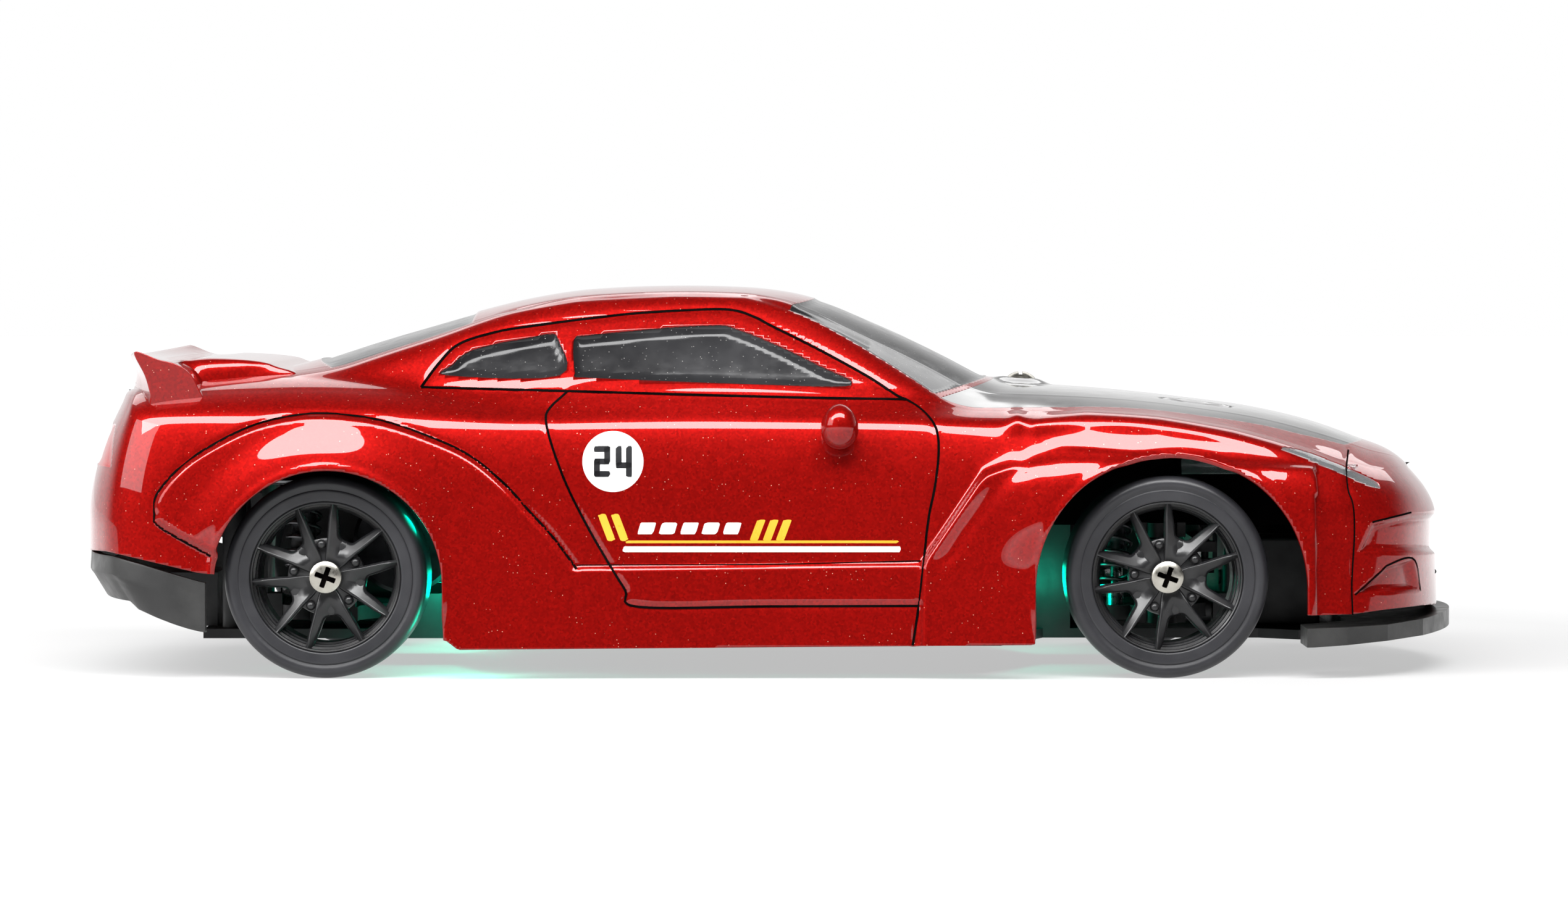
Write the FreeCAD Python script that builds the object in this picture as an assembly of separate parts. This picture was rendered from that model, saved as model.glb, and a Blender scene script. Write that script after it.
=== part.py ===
"""A 1:16 radio-controlled rear-drive drift car, one STEP file per piece.

Row frame in millimetres: +X to the nose, +Y to the car's left, +Z up, origin on the ground under the middle.
"""

import FreeCAD, Part
import math
import os

V = FreeCAD.Vector

# Wheels and axles
REAR_AXLE_X = -92.0
FRONT_AXLE_X = 82.0
AXLE_Z = 21.0
TYRE_RADIUS = 21.0
TYRE_INNER_Y = 39.0
TYRE_OUTER_Y = 59.0
TYRE_SEAT_RADIUS = 16.8
RIM_BARREL_RADIUS = 15.3
HUB_RADIUS = 5.8
HUB_FACE_Y = 55.4
AXLE_RADIUS = 2.0
RUNNING_GAP = 0.05
SPOKES = 5
SPOKE_SPREAD = 21.5
REAR_SPOKE_ANGLE = 62.0
FRONT_SPOKE_ANGLE = 68.0

# Suspension and steering
HINGE_Y = 17.0
HINGE_Z = 12.0
HINGE_PIN_RADIUS = 1.25
ARM_HALF_LENGTH = 12.0
ARM_TOP_Z = 13.5
ARM_BOTTOM_Z = 10.5
ARM_TIP_Y = 36.0
KINGPIN_Y = 40.0
KINGPIN_RADIUS = 1.2
STEERING_LEVER = 9.0
LEVER_PIN_RADIUS = 0.8
LINK_SLOT_HALF = 1.8
DAMPER_FOOT_Y = 26.0
DAMPER_FOOT_Z = 14.5
DAMPER_HEAD_Y = 19.0
DAMPER_HEAD_Z = 40.0
FRONT_DAMPER_X = 73.0
REAR_DAMPER_X = -99.5

# Gears
GEAR_MODULE = 0.5
SPUR_TEETH = 48
PINION_TEETH = 16
GEAR_DISTANCE = GEAR_MODULE * (SPUR_TEETH + PINION_TEETH) / 2
GEAR_LINE_ANGLE = 22.5
MOTOR_X = REAR_AXLE_X + GEAR_DISTANCE * math.cos(math.radians(GEAR_LINE_ANGLE))
MOTOR_Z = AXLE_Z + GEAR_DISTANCE * math.sin(math.radians(GEAR_LINE_ANGLE))
MOTOR_RADIUS = 11.0
CASE_HALF_WIDTH = 4.5

# Chassis
FLOOR_BOTTOM = 6.0
FLOOR_TOP = 8.0

# Body shell
WALL = 1.4
REAR_ARCH = (-91.7, 19.2, 24.0)
FRONT_ARCH = (82.8, 18.3, 28.2)

# Each line below is a run of (x, value) pairs along the body.
HALF_WIDTH = [(-147, 52), (-134, 57.5), (-112, 61.5), (-92, 62.3), (-60, 60), (-30, 58.8), (20, 58.8)]
HALF_WIDTH += [(50, 60.5), (82, 62.3), (105, 61), (122, 57), (134, 51), (147, 44)]
SHOULDER_Z = [(-147, 44), (-138, 52), (-128, 55.2), (-84, 55.2), (-30, 54.2), (20, 54), (50, 53)]
SHOULDER_Z += [(65, 54), (80, 53), (95, 50.3), (110, 46), (120, 41.5), (134, 36), (147, 27)]
DECK_Z = [(-147, 46), (-143, 53), (-138, 59.5), (-125, 62), (-103, 63.3), (-60, 62), (0, 61)]
DECK_Z += [(48, 60.3), (73.5, 58.7), (105, 54.8), (126, 48.7), (134.6, 45), (140, 38.5), (147, 28)]
ROOF_Z = [(-103.3, 63.3), (-94.9, 66.1), (-84.4, 69.5), (-73.8, 72.4), (-63.3, 75.6), (-52.8, 78.2)]
ROOF_Z += [(-42.2, 80), (-31.7, 80.8), (-21.2, 81.2), (-10.7, 81.2), (0, 80.3), (5.1, 79.5)]
ROOF_Z += [(12.5, 77.5), (20.9, 73.8), (31.4, 69.3), (42, 64), (48.3, 60.6)]
ROOF_EDGE_Z = [(-103, 61), (-90, 63.5), (-75, 68.5), (-57, 75), (-41, 77.8), (-20.5, 79.0), (-5, 78.8)]
ROOF_EDGE_Z += [(2, 77.2), (10, 74.2), (20.4, 69.2), (30.6, 63.3), (36, 60), (48.3, 58.5)]
ROOF_EDGE_Y = [(-103, 22), (-95, 30), (-80, 34), (-60, 36), (5, 36.5), (12, 37.5), (20, 39.5)]
ROOF_EDGE_Y += [(30, 42), (36, 42), (42, 33), (48.3, 8)]
BELT_Y = [(-103, 30), (-95, 42), (-80, 47), (-60, 49), (20, 49), (36, 46), (42, 38), (48.3, 12)]
BODY_STATIONS = [-147, -140, -130, -112, -92, -70, -45, -15, 15, 45, 65, 82, 100, 115, 126, 136, 147]
CABIN_STATIONS = [-103, -95, -84, -70, -55, -40, -20, -5, 8, 20, 31, 40, 48.3]

# The left half of the bonnet from above, as (x, y)
BONNET = [(49, 0), (46.5, 18), (40, 36), (36.8, 46), (60, 46), (90, 43), (110, 38.5), (121.5, 32), (125.6, 18)]
BONNET += [(127.6, 0)]

# Side outlines as (x, z)
SIDE_WINDOW = [(-67, 62.8), (-62.5, 67.2), (-50, 70.2), (-30, 71.8), (-9, 73), (0, 69.6), (17, 61), (0, 61)]
SIDE_WINDOW += [(-38, 62.3)]
HEADLIGHT = [(104, 47.6), (113, 43.8), (122, 39.8), (131, 38.2), (145, 38.2), (145, 41.5), (129, 42)]
HEADLIGHT += [(118, 45.4)]
VALANCE = [(-147, 10.5), (-120, 9.8), (-117.5, 9.8), (-117, 20), (-130, 23.5), (-137, 25.5), (-147, 26)]
WING_BOW = 4.5
WING_END = [(-128, 52), (-117.5, 52), (-118, 59), (-119, 61.5), (-121, 65), (-131.5, 67.5), (-129.5, 62)]
WING_PLATE = [(-128, 52), (-101.5, 52), (-101.5, 62.5), (-104, 64.6), (-109, 65.6), (-118, 66), (-128, 65.7)]


def along(x, line):
    """The value of one of the (x, value) lines at x."""
    for (x0, v0), (x1, v1) in zip(line, line[1:]):
        if x <= x1:
            return v0 + (v1 - v0) * (max(x, x0) - x0) / (x1 - x0)
    return line[-1][1]


def box(x0, x1, y0, y1, z0, z1):
    """A box between two corners."""
    return Part.makeBox(x1 - x0, y1 - y0, z1 - z0, V(x0, y0, z0))


def rod_y(radius, x, z, y0, y1):
    """A round bar along Y."""
    return Part.makeCylinder(radius, y1 - y0, V(x, y0, z), V(0, 1, 0))


def rod_x(radius, y, z, x0, x1):
    """A round bar along X."""
    return Part.makeCylinder(radius, x1 - x0, V(x0, y, z), V(1, 0, 0))


def rod_z(radius, x, y, z0, z1):
    """A round bar along Z."""
    return Part.makeCylinder(radius, z1 - z0, V(x, y, z0))


def face(points):
    """A flat face on a closed outline."""
    return Part.Face(Part.makePolygon([V(*p) for p in points + points[:1]]))


def prism_y(outline, y0, y1):
    """A side outline of (x, z) points carried along Y."""
    return face([(x, y0, z) for x, z in outline]).extrude(V(0, y1 - y0, 0))


def prism_x(outline, x0, x1):
    """A front outline of (y, z) points carried along X."""
    return face([(x0, y, z) for y, z in outline]).extrude(V(x1 - x0, 0, 0))


def prism_z(outline, z0, z1):
    """A plan outline of (x, y) points carried along Z."""
    return face([(x, y, z0) for x, y in outline]).extrude(V(0, 0, z1 - z0))


def joined(shapes):
    """One solid from shapes that touch or overlap."""
    return shapes[0].fuse(shapes[1:]).removeSplitter()


def other_side(shape):
    """The same piece on the other side of the car."""
    return shape.mirror(V(0, 0, 0), V(0, 1, 0))


def both_sides(shape):
    """A piece and its mirror image, as separate solids."""
    return Part.makeCompound([shape, other_side(shape)])


def export(name, shape):
    """Write one node's STEP file."""
    shape.exportStep("parts/" + name + ".step")


def section(x, half, foot_z):
    """A closed cross-section at x: one smooth curve over the top and a straight foot."""
    right = [V(x, -y, z) for y, z in half]
    left = [V(x, y, z) for y, z in reversed(half[:-1])]
    curve = Part.BSplineCurve()
    curve.interpolate([V(x, -half[0][0], foot_z)] + right + left + [V(x, half[0][0], foot_z)])
    edge = curve.toShape()
    return Part.Wire([edge, Part.makeLine(edge.lastVertex().Point, edge.firstVertex().Point)])


def body_half(x, inset):
    """Half a cross-section of the lower body, from the sill to the centre line."""
    width = along(x, HALF_WIDTH) - inset
    shoulder = along(x, SHOULDER_Z) - inset
    deck = along(x, DECK_Z) - inset
    edge = shoulder + 0.45 * (deck - shoulder)
    side = [(width - 1.2, 16), (width, 32), (width - 1.6, shoulder - 5), (width - 5.5, shoulder)]
    return side + [(width - 14, edge), (0.5 * width, deck - 0.8), (0, deck)]


def cabin_half(x, inset):
    """Half a cross-section of the cabin, from inside the deck to the centre line."""
    belt = along(x, BELT_Y) - inset
    edge_y = along(x, ROOF_EDGE_Y) - inset
    edge_z = along(x, ROOF_EDGE_Z) - inset
    roof = along(x, ROOF_Z) - inset
    middle = ((belt + edge_y) / 2 + 0.8, (57 + edge_z) / 2)
    return [(belt, 57), middle, (edge_y, edge_z), (0.6 * edge_y, edge_z + 0.7 * (roof - edge_z)), (0, roof)]


def plan_prism(inset):
    """The body's outline from above, carried up: bowed nose and tail between straight flanks."""
    tail, nose, side = -145.8 + inset, 143.6 - inset, 66.0
    rear = Part.Arc(V(tail + 7.5, 57, 0), V(tail, 0, 0), V(tail + 7.5, -57, 0)).toShape()
    front = Part.Arc(V(nose - 12, -52, 0), V(nose, 0, 0), V(nose - 12, 52, 0)).toShape()
    right = Part.makePolygon([V(tail + 7.5, -57, 0), V(-124, -side, 0), V(112, -side, 0), V(nose - 12, -52, 0)])
    left = Part.makePolygon([V(nose - 12, 52, 0), V(112, side, 0), V(-124, side, 0), V(tail + 7.5, 57, 0)])
    outline = Part.Wire([rear] + right.Edges + [front] + left.Edges)
    return Part.Face(outline).extrude(V(0, 0, 100))


def body_solid(inset, foot_z):
    """The body as a full block, inset from the outside by the given amount."""
    lower = [section(x, body_half(x, inset), foot_z) for x in BODY_STATIONS]
    upper = [section(x, cabin_half(x, inset), 50) for x in CABIN_STATIONS]
    block = Part.makeLoft(lower, True).common(plan_prism(inset))
    return block.fuse(Part.makeLoft(upper, True))


def arch_cutter(arch, left_foot, right_foot):
    """A wheel arch through both flanks: a circle with its mouth open to the ground."""
    x, z, radius = arch
    mouth = prism_y([(x - radius, z), (x + radius, z), right_foot, left_foot], -80, 80)
    return rod_y(radius, x, z, -80, 80).fuse(mouth)


def shell_cutters():
    """Everything that the sill line and the wheel arches take out of the shell."""
    rear = arch_cutter(REAR_ARCH, (-118, 0), (-64.5, 0))
    front = arch_cutter(FRONT_ARCH, (54.5, 0), (112, 0))
    sill = box(-80, 70, -80, 80, 0, 6.6)
    tail = prism_y([(-150, 0), (-112, 0), (-112, 21.5), (-118, 22), (-137, 26.5), (-150, 27)], -80, 80)
    nose = prism_y([(108, 0), (150, 0), (150, 15), (134, 15.3), (120, 13.4), (108, 13)], -80, 80)
    return [rear, front, sill, tail, nose]


def shell_inserts():
    """Blocks that mark where the windows, lamps and grille sit in the shell."""
    sides = prism_y(SIDE_WINDOW, -80, 80)
    windscreen = prism_z([(11, -31), (14, -33), (34, -36), (44, -20), (46, 0), (44, 20), (34, 36)], 61, 90)
    windscreen = windscreen.fuse(prism_z([(11, -31), (34, 36), (14, 33), (11, 31)], 61, 90))
    rear = prism_z([(-96, -24), (-66, -30), (-66, 30), (-96, 24)], 64.2, 90)
    windows = joined([sides, windscreen, rear])
    headlight = prism_y(HEADLIGHT, 30, 80)
    tail_light = box(-150, -128, 17, 56, 43.5, 52)
    grille = box(130, 150, -30, 30, 19, 29)
    edge = BONNET + [(x, -y) for x, y in reversed(BONNET)]
    bonnet = prism_z(edge, 42, 90)
    return windows, headlight, tail_light, grille, bonnet


def ribs(inner, x0, x1, y, foot_z, end):
    """Two stiffening ribs inside the wheel wells, hung from the skin between x0 and end."""
    rib = box(x0, x1, y, y + WALL, foot_z, 58).fuse(box(x0, end, y, y + WALL, 50, 66)).common(inner)
    return [rib, other_side(rib)]


def light_guide(inner):
    """The clear bar behind the left headlight, seen through the wheel arch."""
    bar = box(86.5, 99, 32, 34.2, 41.5, 45.2)
    arm = prism_z([(97, 32), (99, 32), (112, 43.5), (129, 48), (127, 53), (110, 47.5), (97, 34.2)], 41.5, 43.2)
    return bar.fuse(arm).common(inner)


def make_shell(outer, inner):
    """The body shell and the pieces let into it."""
    shell = outer.cut(inner).cut(shell_cutters())
    windows, headlight, tail_light, grille, bonnet = shell_inserts()
    screw_hole = rod_z(1.5, 54, 0, 50, 70)
    pieces = {
        "window_panes": shell.common(windows),
        "headlight_left": shell.common(headlight),
        "headlight_right": shell.common(other_side(headlight)),
        "tail_light_left": shell.common(tail_light),
        "tail_light_right": shell.common(other_side(tail_light)),
        "nose_grille": shell.common(grille),
        "bonnet": shell.common(bonnet).cut(screw_hole),
    }
    openings = [windows, headlight, other_side(headlight), tail_light, other_side(tail_light), grille, bonnet]
    pieces["body_shell"] = shell.cut(openings).fuse(ribs(inner, -118, -66, 30, 40, -106))
    pieces["bonnet"] = pieces["bonnet"].fuse(ribs(inner, 60, 112, 27, 30.5, 112))
    guide = light_guide(inner)
    pieces["headlight_left"] = pieces["headlight_left"].fuse(guide)
    pieces["headlight_right"] = pieces["headlight_right"].fuse(other_side(guide))
    return pieces


def make_rear_wing(outer):
    """The ducktail: a bowed blade across the tail with a raised plate in front of its middle."""
    wires = []
    for y in (-52, -30, 0, 30, 52):
        back = WING_BOW * (1 - (y / 52) ** 2)
        points = [V(x - back, y, z) for x, z in WING_END]
        wires.append(Part.makePolygon(points + points[:1]))
    blade = Part.makeLoft(wires, True, True)
    return blade.fuse(prism_y(WING_PLATE, -40, 40)).cut(outer)


def make_valance():
    """The rear valance: a curved strip below the tail with two end pieces."""
    strip = plan_prism(0).cut(plan_prism(3.0).common(box(-150, -60, -57, 57, 0, 100)))
    strip = strip.common(box(-150, -117, -60.5, 60.5, 0, 60))
    return strip.common(prism_y(VALANCE, -80, 80))


def make_splitter():
    """The front splitter: a bowed plate that rises a little to the nose; its two ends run back along the sills."""
    side = [V(136.5, 43, 0), V(128, 53.5, 0), V(119, 60, 0), V(110.5, 62, 0), V(110.5, 47, 0), V(121, 38, 0)]
    mirror = [V(p.x, -p.y, 0) for p in reversed(side)]
    front = Part.Arc(mirror[-1], V(146.4, 0, 0), side[0]).toShape()
    edges = Part.makePolygon(side + mirror).Edges
    plate = Part.Face(Part.Wire([front] + edges)).extrude(V(0, 0, 10))
    plate.translate(V(0, 0, 5))
    return plate.common(prism_y([(100, 6.7), (112, 6.7), (147, 8.6), (147, 12.2), (128, 10.9), (100, 10.4)], -80, 80))


def make_mirror(outer):
    """A wing mirror: an egg on the top of the door."""
    egg = Part.makeSphere(1.0)
    size = FreeCAD.Matrix()
    size.scale(4.2, 6.0, 4.9)
    egg = egg.transformGeometry(size)
    egg.translate(V(14, 58.8, 52))
    return egg.cut(outer)


def make_tub():
    """The chassis tub: floor, side walls, hinge blocks and the beams that hold the bumpers."""
    half = [(-121, 12), (-121, 22), (-68, 22), (-60, 46), (48, 46), (58, 20), (104, 20), (112, 26), (121, 26)]
    outline = half + [(x, -y) for x, y in reversed(half)]
    floor = prism_z(outline, FLOOR_BOTTOM, FLOOR_TOP)
    parts = [floor]
    for side in (1, -1):
        y0, y1 = sorted((side * 44.4, side * 46))
        parts.append(box(-59, 47, y0, y1, FLOOR_TOP, 17))
        for axle_x in (REAR_AXLE_X, FRONT_AXLE_X):
            for end in (-1, 1):
                near = axle_x + end * (ARM_HALF_LENGTH + 0.3)
                x0, x1 = sorted((near, near + end * 3.4))
                b0, b1 = sorted((side * 13.5, side * 20.5))
                parts.append(box(x0, x1, b0, b1, FLOOR_TOP, 15.5))
        y0, y1 = sorted((side * 18.4, side * 20))
        parts.append(box(50, 63.8, y0, y1, FLOOR_TOP, 32))
        y0, y1 = sorted((side * 20.4, side * 22))
        parts.append(box(-76.5, -60, y0, y1, FLOOR_TOP, 15.5))
    parts.append(box(-60, -57, -44.4, 44.4, FLOOR_TOP, 14))
    parts.append(box(45, 48, -44.4, 44.4, FLOOR_TOP, 14))
    parts.append(box(-123, -119, -12, 12, FLOOR_TOP, 19.5))
    parts.append(box(-142.4, -119, -12, 12, 17, 19.5))
    parts.append(box(-23, -20, 2, 5, FLOOR_TOP, 24))
    bores = []
    bore_radius = HINGE_PIN_RADIUS + RUNNING_GAP
    for side in (1, -1):
        for axle_x in (REAR_AXLE_X, FRONT_AXLE_X):
            bores.append(rod_x(bore_radius, side * HINGE_Y, HINGE_Z, axle_x - 15.2, axle_x + 15.2))
    return joined(parts).cut(bores)


def make_arm(axle_x, damper_x):
    """A left lower arm: hinge barrel with its two moulded pins, slotted web, and a pad for the damper."""
    inner, outer = HINGE_Y, ARM_TIP_Y
    web = prism_z(
        [
            (axle_x - ARM_HALF_LENGTH, inner),
            (axle_x + ARM_HALF_LENGTH, inner),
            (axle_x + 5, outer - 5),
            (axle_x + 5, outer),
            (axle_x - 5, outer),
            (axle_x - 5, outer - 5),
        ],
        ARM_BOTTOM_Z,
        ARM_TOP_Z,
    )
    barrel = rod_x(2.6, HINGE_Y, HINGE_Z, axle_x - ARM_HALF_LENGTH, axle_x + ARM_HALF_LENGTH)
    pad = rod_z(4.2, damper_x, DAMPER_FOOT_Y, ARM_BOTTOM_Z, ARM_TOP_Z)
    pins = rod_x(HINGE_PIN_RADIUS, HINGE_Y, HINGE_Z, axle_x - 14.8, axle_x + 14.8)
    slot = box(axle_x - 3.5, axle_x + 3.5, inner + 4.5, outer - 7, 0, 30)
    return joined([web, barrel, pad, pins]).cut(slot)


def make_front_arm():
    """The front left arm with the yoke that carries the kingpins."""
    arm = make_arm(FRONT_AXLE_X, FRONT_DAMPER_X)
    x0, x1 = FRONT_AXLE_X - 5, FRONT_AXLE_X + 5
    post = box(x0 + 1.2, x1 - 1.2, 32.8, 35.6, ARM_BOTTOM_Z, 31.5)
    ears = [box(x0, x1, 33, KINGPIN_Y, z, z + 3) for z in (ARM_BOTTOM_Z, 28.5)]
    eyes = [rod_z(3.2, FRONT_AXLE_X, KINGPIN_Y, z, z + 3) for z in (ARM_BOTTOM_Z, 28.5)]
    holes = rod_z(KINGPIN_RADIUS + RUNNING_GAP, FRONT_AXLE_X, KINGPIN_Y, 0, 40)
    return joined([arm, post] + ears + eyes).cut(holes)


def make_hub_carrier():
    """The rear left hub carrier, standing on the end of its arm."""
    boss = rod_y(5.2, REAR_AXLE_X, AXLE_Z, 35.6, 42.4)
    foot = box(REAR_AXLE_X - 4.5, REAR_AXLE_X + 4.5, 32, 36, ARM_TOP_Z, 19)
    heel = box(REAR_AXLE_X - 4.5, REAR_AXLE_X + 4.5, 33.5, 40, 15.6, 21)
    bore = rod_y(AXLE_RADIUS + RUNNING_GAP, REAR_AXLE_X, AXLE_Z, 20, 50)
    joint_room = rod_y(3.7, REAR_AXLE_X, AXLE_Z, 20, 35.6)
    return joined([boss, foot, heel]).cut([bore, joint_room])


def make_knuckle():
    """The front left knuckle: block, two kingpins, steering lever with its pin, and the stub axle."""
    x = FRONT_AXLE_X
    block = rod_z(3.4, x, KINGPIN_Y, 13.9, 28.1)
    boss = rod_y(4.6, x, AXLE_Z, 39, 43.4)
    axle = rod_y(AXLE_RADIUS, x, AXLE_Z, 42, 53.5)
    pins = [rod_z(KINGPIN_RADIUS, x, KINGPIN_Y, z, z + 3.1) for z in (10.9, 28.0)]
    lever = box(x, x + STEERING_LEVER, KINGPIN_Y - 1.6, KINGPIN_Y + 1.6, 21, 24)
    lever_end = rod_z(2.0, x + STEERING_LEVER, KINGPIN_Y, 21, 24)
    lever_pin = rod_z(LEVER_PIN_RADIUS, x + STEERING_LEVER, KINGPIN_Y, 23, 29)
    thread = rod_y(1.2, x, AXLE_Z, 47, 60)
    return joined([block, boss, axle] + pins + [lever, lever_end, lever_pin]).cut(thread)


def make_rear_axle():
    """The rear left axle with its drive hexagon, and the dogbone that turns it."""
    x = REAR_AXLE_X
    axle = rod_y(AXLE_RADIUS, x, AXLE_Z, 34, 53.5)
    hexagon = [(x + 4.6 * math.cos(a * math.pi / 3), AXLE_Z + 4.6 * math.sin(a * math.pi / 3)) for a in range(6)]
    drive = prism_y(hexagon, 43.2, 46.2)
    socket = rod_y(3.4, x, AXLE_Z, 28.5, 34.6).cut(rod_y(2.4, x, AXLE_Z, 28, 33))
    thread = rod_y(1.2, x, AXLE_Z, 47, 60)
    bone = [rod_y(1.4, x, AXLE_Z, 9.2, 30.6), Part.makeSphere(2.1, V(x, 9.2, AXLE_Z))]
    bone += [Part.makeSphere(2.1, V(x, 30.6, AXLE_Z)), rod_x(0.6, 9.2, AXLE_Z, x - 3.6, x + 3.6)]
    return Part.makeCompound([joined([axle, drive, socket]).cut(thread), joined(bone)])


def ring_y(profile, x):
    """A (radius, y) outline turned about a wheel's axis."""
    outline = face([(x + r, y, AXLE_Z) for r, y in profile])
    return outline.revolve(V(x, 0, AXLE_Z), V(0, 1, 0), 360)


def make_tyre(x):
    """A smooth hard drift tyre on the left side."""
    y0, y1, r, seat = TYRE_INNER_Y, TYRE_OUTER_Y, TYRE_RADIUS, TYRE_SEAT_RADIUS
    profile = [(seat, y0 + 1.4), (r - 3, y0), (r - 1, y0 + 0.5), (r, y0 + 2), (r, y1 - 2)]
    profile += [(r - 1, y1 - 0.5), (r - 3, y1), (seat, y1 - 1.4)]
    return ring_y(profile, x)


def make_rim(x, first_angle, hex_drive):
    """A left wheel rim with five forked spokes; a driven rim has a hexagon pocket."""
    y0, y1 = TYRE_INNER_Y + 1.4, TYRE_OUTER_Y - 1.4
    barrel = [(RIM_BARREL_RADIUS, y0), (TYRE_SEAT_RADIUS, y0), (TYRE_SEAT_RADIUS, y1), (16.4, y1 + 0.7)]
    barrel += [(15.6, y1 + 0.7), (RIM_BARREL_RADIUS, y1 - 1)]
    parts = [ring_y(barrel, x), rod_y(HUB_RADIUS, x, AXLE_Z, 43.6, HUB_FACE_Y)]
    blade = [(3.5, -1.9), (3.5, 1.9), (10.5, 1.5), (16, 0.9), (16, -0.9), (10.5, -1.5)]
    for spoke in range(SPOKES):
        middle = first_angle + spoke * 360 / SPOKES
        for side in (-1, 1):
            arm = prism_y([(r, t) for r, t in blade], 53.6, 56.4)
            arm.rotate(V(0, 0, 0), V(0, 1, 0), -(middle + side * SPOKE_SPREAD))
            arm.translate(V(x, 0, AXLE_Z))
            parts.append(arm)
    rim = joined(parts).cut(rod_y(AXLE_RADIUS + RUNNING_GAP, x, AXLE_Z, 30, 53.6))
    rim = rim.cut(rod_y(1.5, x, AXLE_Z, 50, 60))
    if hex_drive:
        corners = [a * math.pi / 3 for a in range(6)]
        pocket = [(x + 4.6 * math.cos(a), AXLE_Z + 4.6 * math.sin(a)) for a in corners]
        rim = rim.cut(prism_y(pocket, 43, 46.2))
    return rim


def make_pan_screw(length, head_gap):
    """A pan-head cross-recess screw along +Y, its head's underside at y = head_gap."""
    head = Part.makeSphere(4.2, V(0, head_gap - 1.9, 0)).common(rod_y(3.3, 0, 0, head_gap, head_gap + 3))
    shank = rod_y(1.2, 0, 0, head_gap - length, head_gap)
    cross = [box(-2.4, 2.4, head_gap + 1.0, head_gap + 4, -0.45, 0.45)]
    cross.append(box(-0.45, 0.45, head_gap + 1.0, head_gap + 4, -2.4, 2.4))
    return joined([head, shank]).cut(cross)


def make_wheel_screw(x):
    """The screw in the middle of a left wheel."""
    screw = make_pan_screw(9.0, HUB_FACE_Y + 1.2)
    screw.translate(V(x, 0, AXLE_Z))
    return screw


def tilted(shape, x):
    """Stand a damper piece, built upright on the origin, on its left arm."""
    lean = math.degrees(math.atan2(DAMPER_FOOT_Y - DAMPER_HEAD_Y, DAMPER_HEAD_Z - DAMPER_FOOT_Z))
    placed = shape.copy()
    placed.rotate(V(0, 0, 0), V(1, 0, 0), lean)
    placed.translate(V(x, DAMPER_FOOT_Y, DAMPER_FOOT_Z))
    return placed


def make_damper_rod(x, arm):
    """The lower half of a damper: foot, spring seat and rod."""
    foot = rod_z(1.8, 0, 0, -2, 1.6)
    seat = rod_z(4.3, 0, 0, 1.6, 2.6)
    rod = rod_z(0.9, 0, 0, 2, 13.4)
    return tilted(joined([foot, seat, rod]), x).cut(arm)


def make_damper_body(x, pin_x):
    """The upper half of a damper: open tube, spring collar, head and the bolt into the tower."""
    tube = rod_z(2.6, 0, 0, 10.4, 24)
    collar = rod_z(4.3, 0, 0, 21.6, 22.6)
    head = rod_z(2.8, 0, 0, 23, 27.4)
    bore = rod_z(1.95, 0, 0, 10, 20)
    body = tilted(joined([tube, collar, head]).cut(bore), x)
    x0, x1 = sorted((x, pin_x))
    return joined([body, rod_x(1.3, DAMPER_HEAD_Y, DAMPER_HEAD_Z, x0, x1)])


def make_spring(x):
    """A damper's coil spring, ground to rest between its two seats."""
    coil_radius, wire, turns = 3.5, 0.4, 6
    height = 21.6 - 2.6 - 2 * wire
    path = Part.makeHelix(height / turns, height, coil_radius)
    circle = Part.Wire(Part.makeCircle(wire, V(coil_radius, 0, 0), V(0, 1, 0)))
    coil = Part.Wire(path).makePipeShell([circle], True, True)
    coil.translate(V(0, 0, 2.6 + wire))
    return tilted(coil, x)


def make_tower(x0, x1):
    """A shock tower plate that widens upward."""
    outline = [(-7, FLOOR_TOP), (7, FLOOR_TOP), (9, 24), (22, 37), (22, 43), (14, 43), (10, 39)]
    outline += [(-10, 39), (-14, 43), (-22, 43), (-22, 37), (-9, 24)]
    bolts = [rod_x(1.3, side * DAMPER_HEAD_Y, DAMPER_HEAD_Z, x0, x1) for side in (1, -1)]
    return prism_x(outline, x0, x1).cut(bolts)


def make_gear(teeth, x, z, turn, y0, y1):
    """A spur gear with straight-flanked teeth, the first one at the angle turn."""
    pitch = GEAR_MODULE * teeth / 2
    tip, root = pitch + 0.85 * GEAR_MODULE, pitch - 1.15 * GEAR_MODULE
    step = 2 * math.pi / teeth
    outline = []
    for tooth in range(teeth):
        middle = math.radians(turn) + tooth * step
        for radius, share in ((root, -0.34), (tip, -0.13), (tip, 0.13), (root, 0.34)):
            angle = middle + share * step
            outline.append((x + radius * math.cos(angle), z + radius * math.sin(angle)))
    return prism_y(outline, y0, y1)


def make_differential():
    """The spur gear with its journals and the two cups that the dogbones sit in."""
    x = REAR_AXLE_X
    spur = make_gear(SPUR_TEETH, x, AXLE_Z, 0, -2, 2)
    parts = [spur, rod_y(3.0, x, AXLE_Z, -6, 6)]
    for y0, y1 in ((5, 12), (-12, -5)):
        parts.append(rod_y(4.2, x, AXLE_Z, y0, y1))
    cups = [rod_y(2.9, x, AXLE_Z, 6.4, 13), rod_y(2.9, x, AXLE_Z, -13, -6.4)]
    cups += [box(x - 5, x + 5, y0, y1, AXLE_Z - 1.4, AXLE_Z + 1.4) for y0, y1 in ((7.4, 13), (-13, -7.4))]
    return joined(parts).cut(cups)


def make_pinion():
    """The motor pinion on the end of the motor's shaft."""
    turn = 180 / PINION_TEETH
    pinion = make_gear(PINION_TEETH, MOTOR_X, MOTOR_Z, turn, -2, 2)
    return joined([pinion, rod_y(1.0, MOTOR_X, MOTOR_Z, -11.5, 2.4)])


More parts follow.
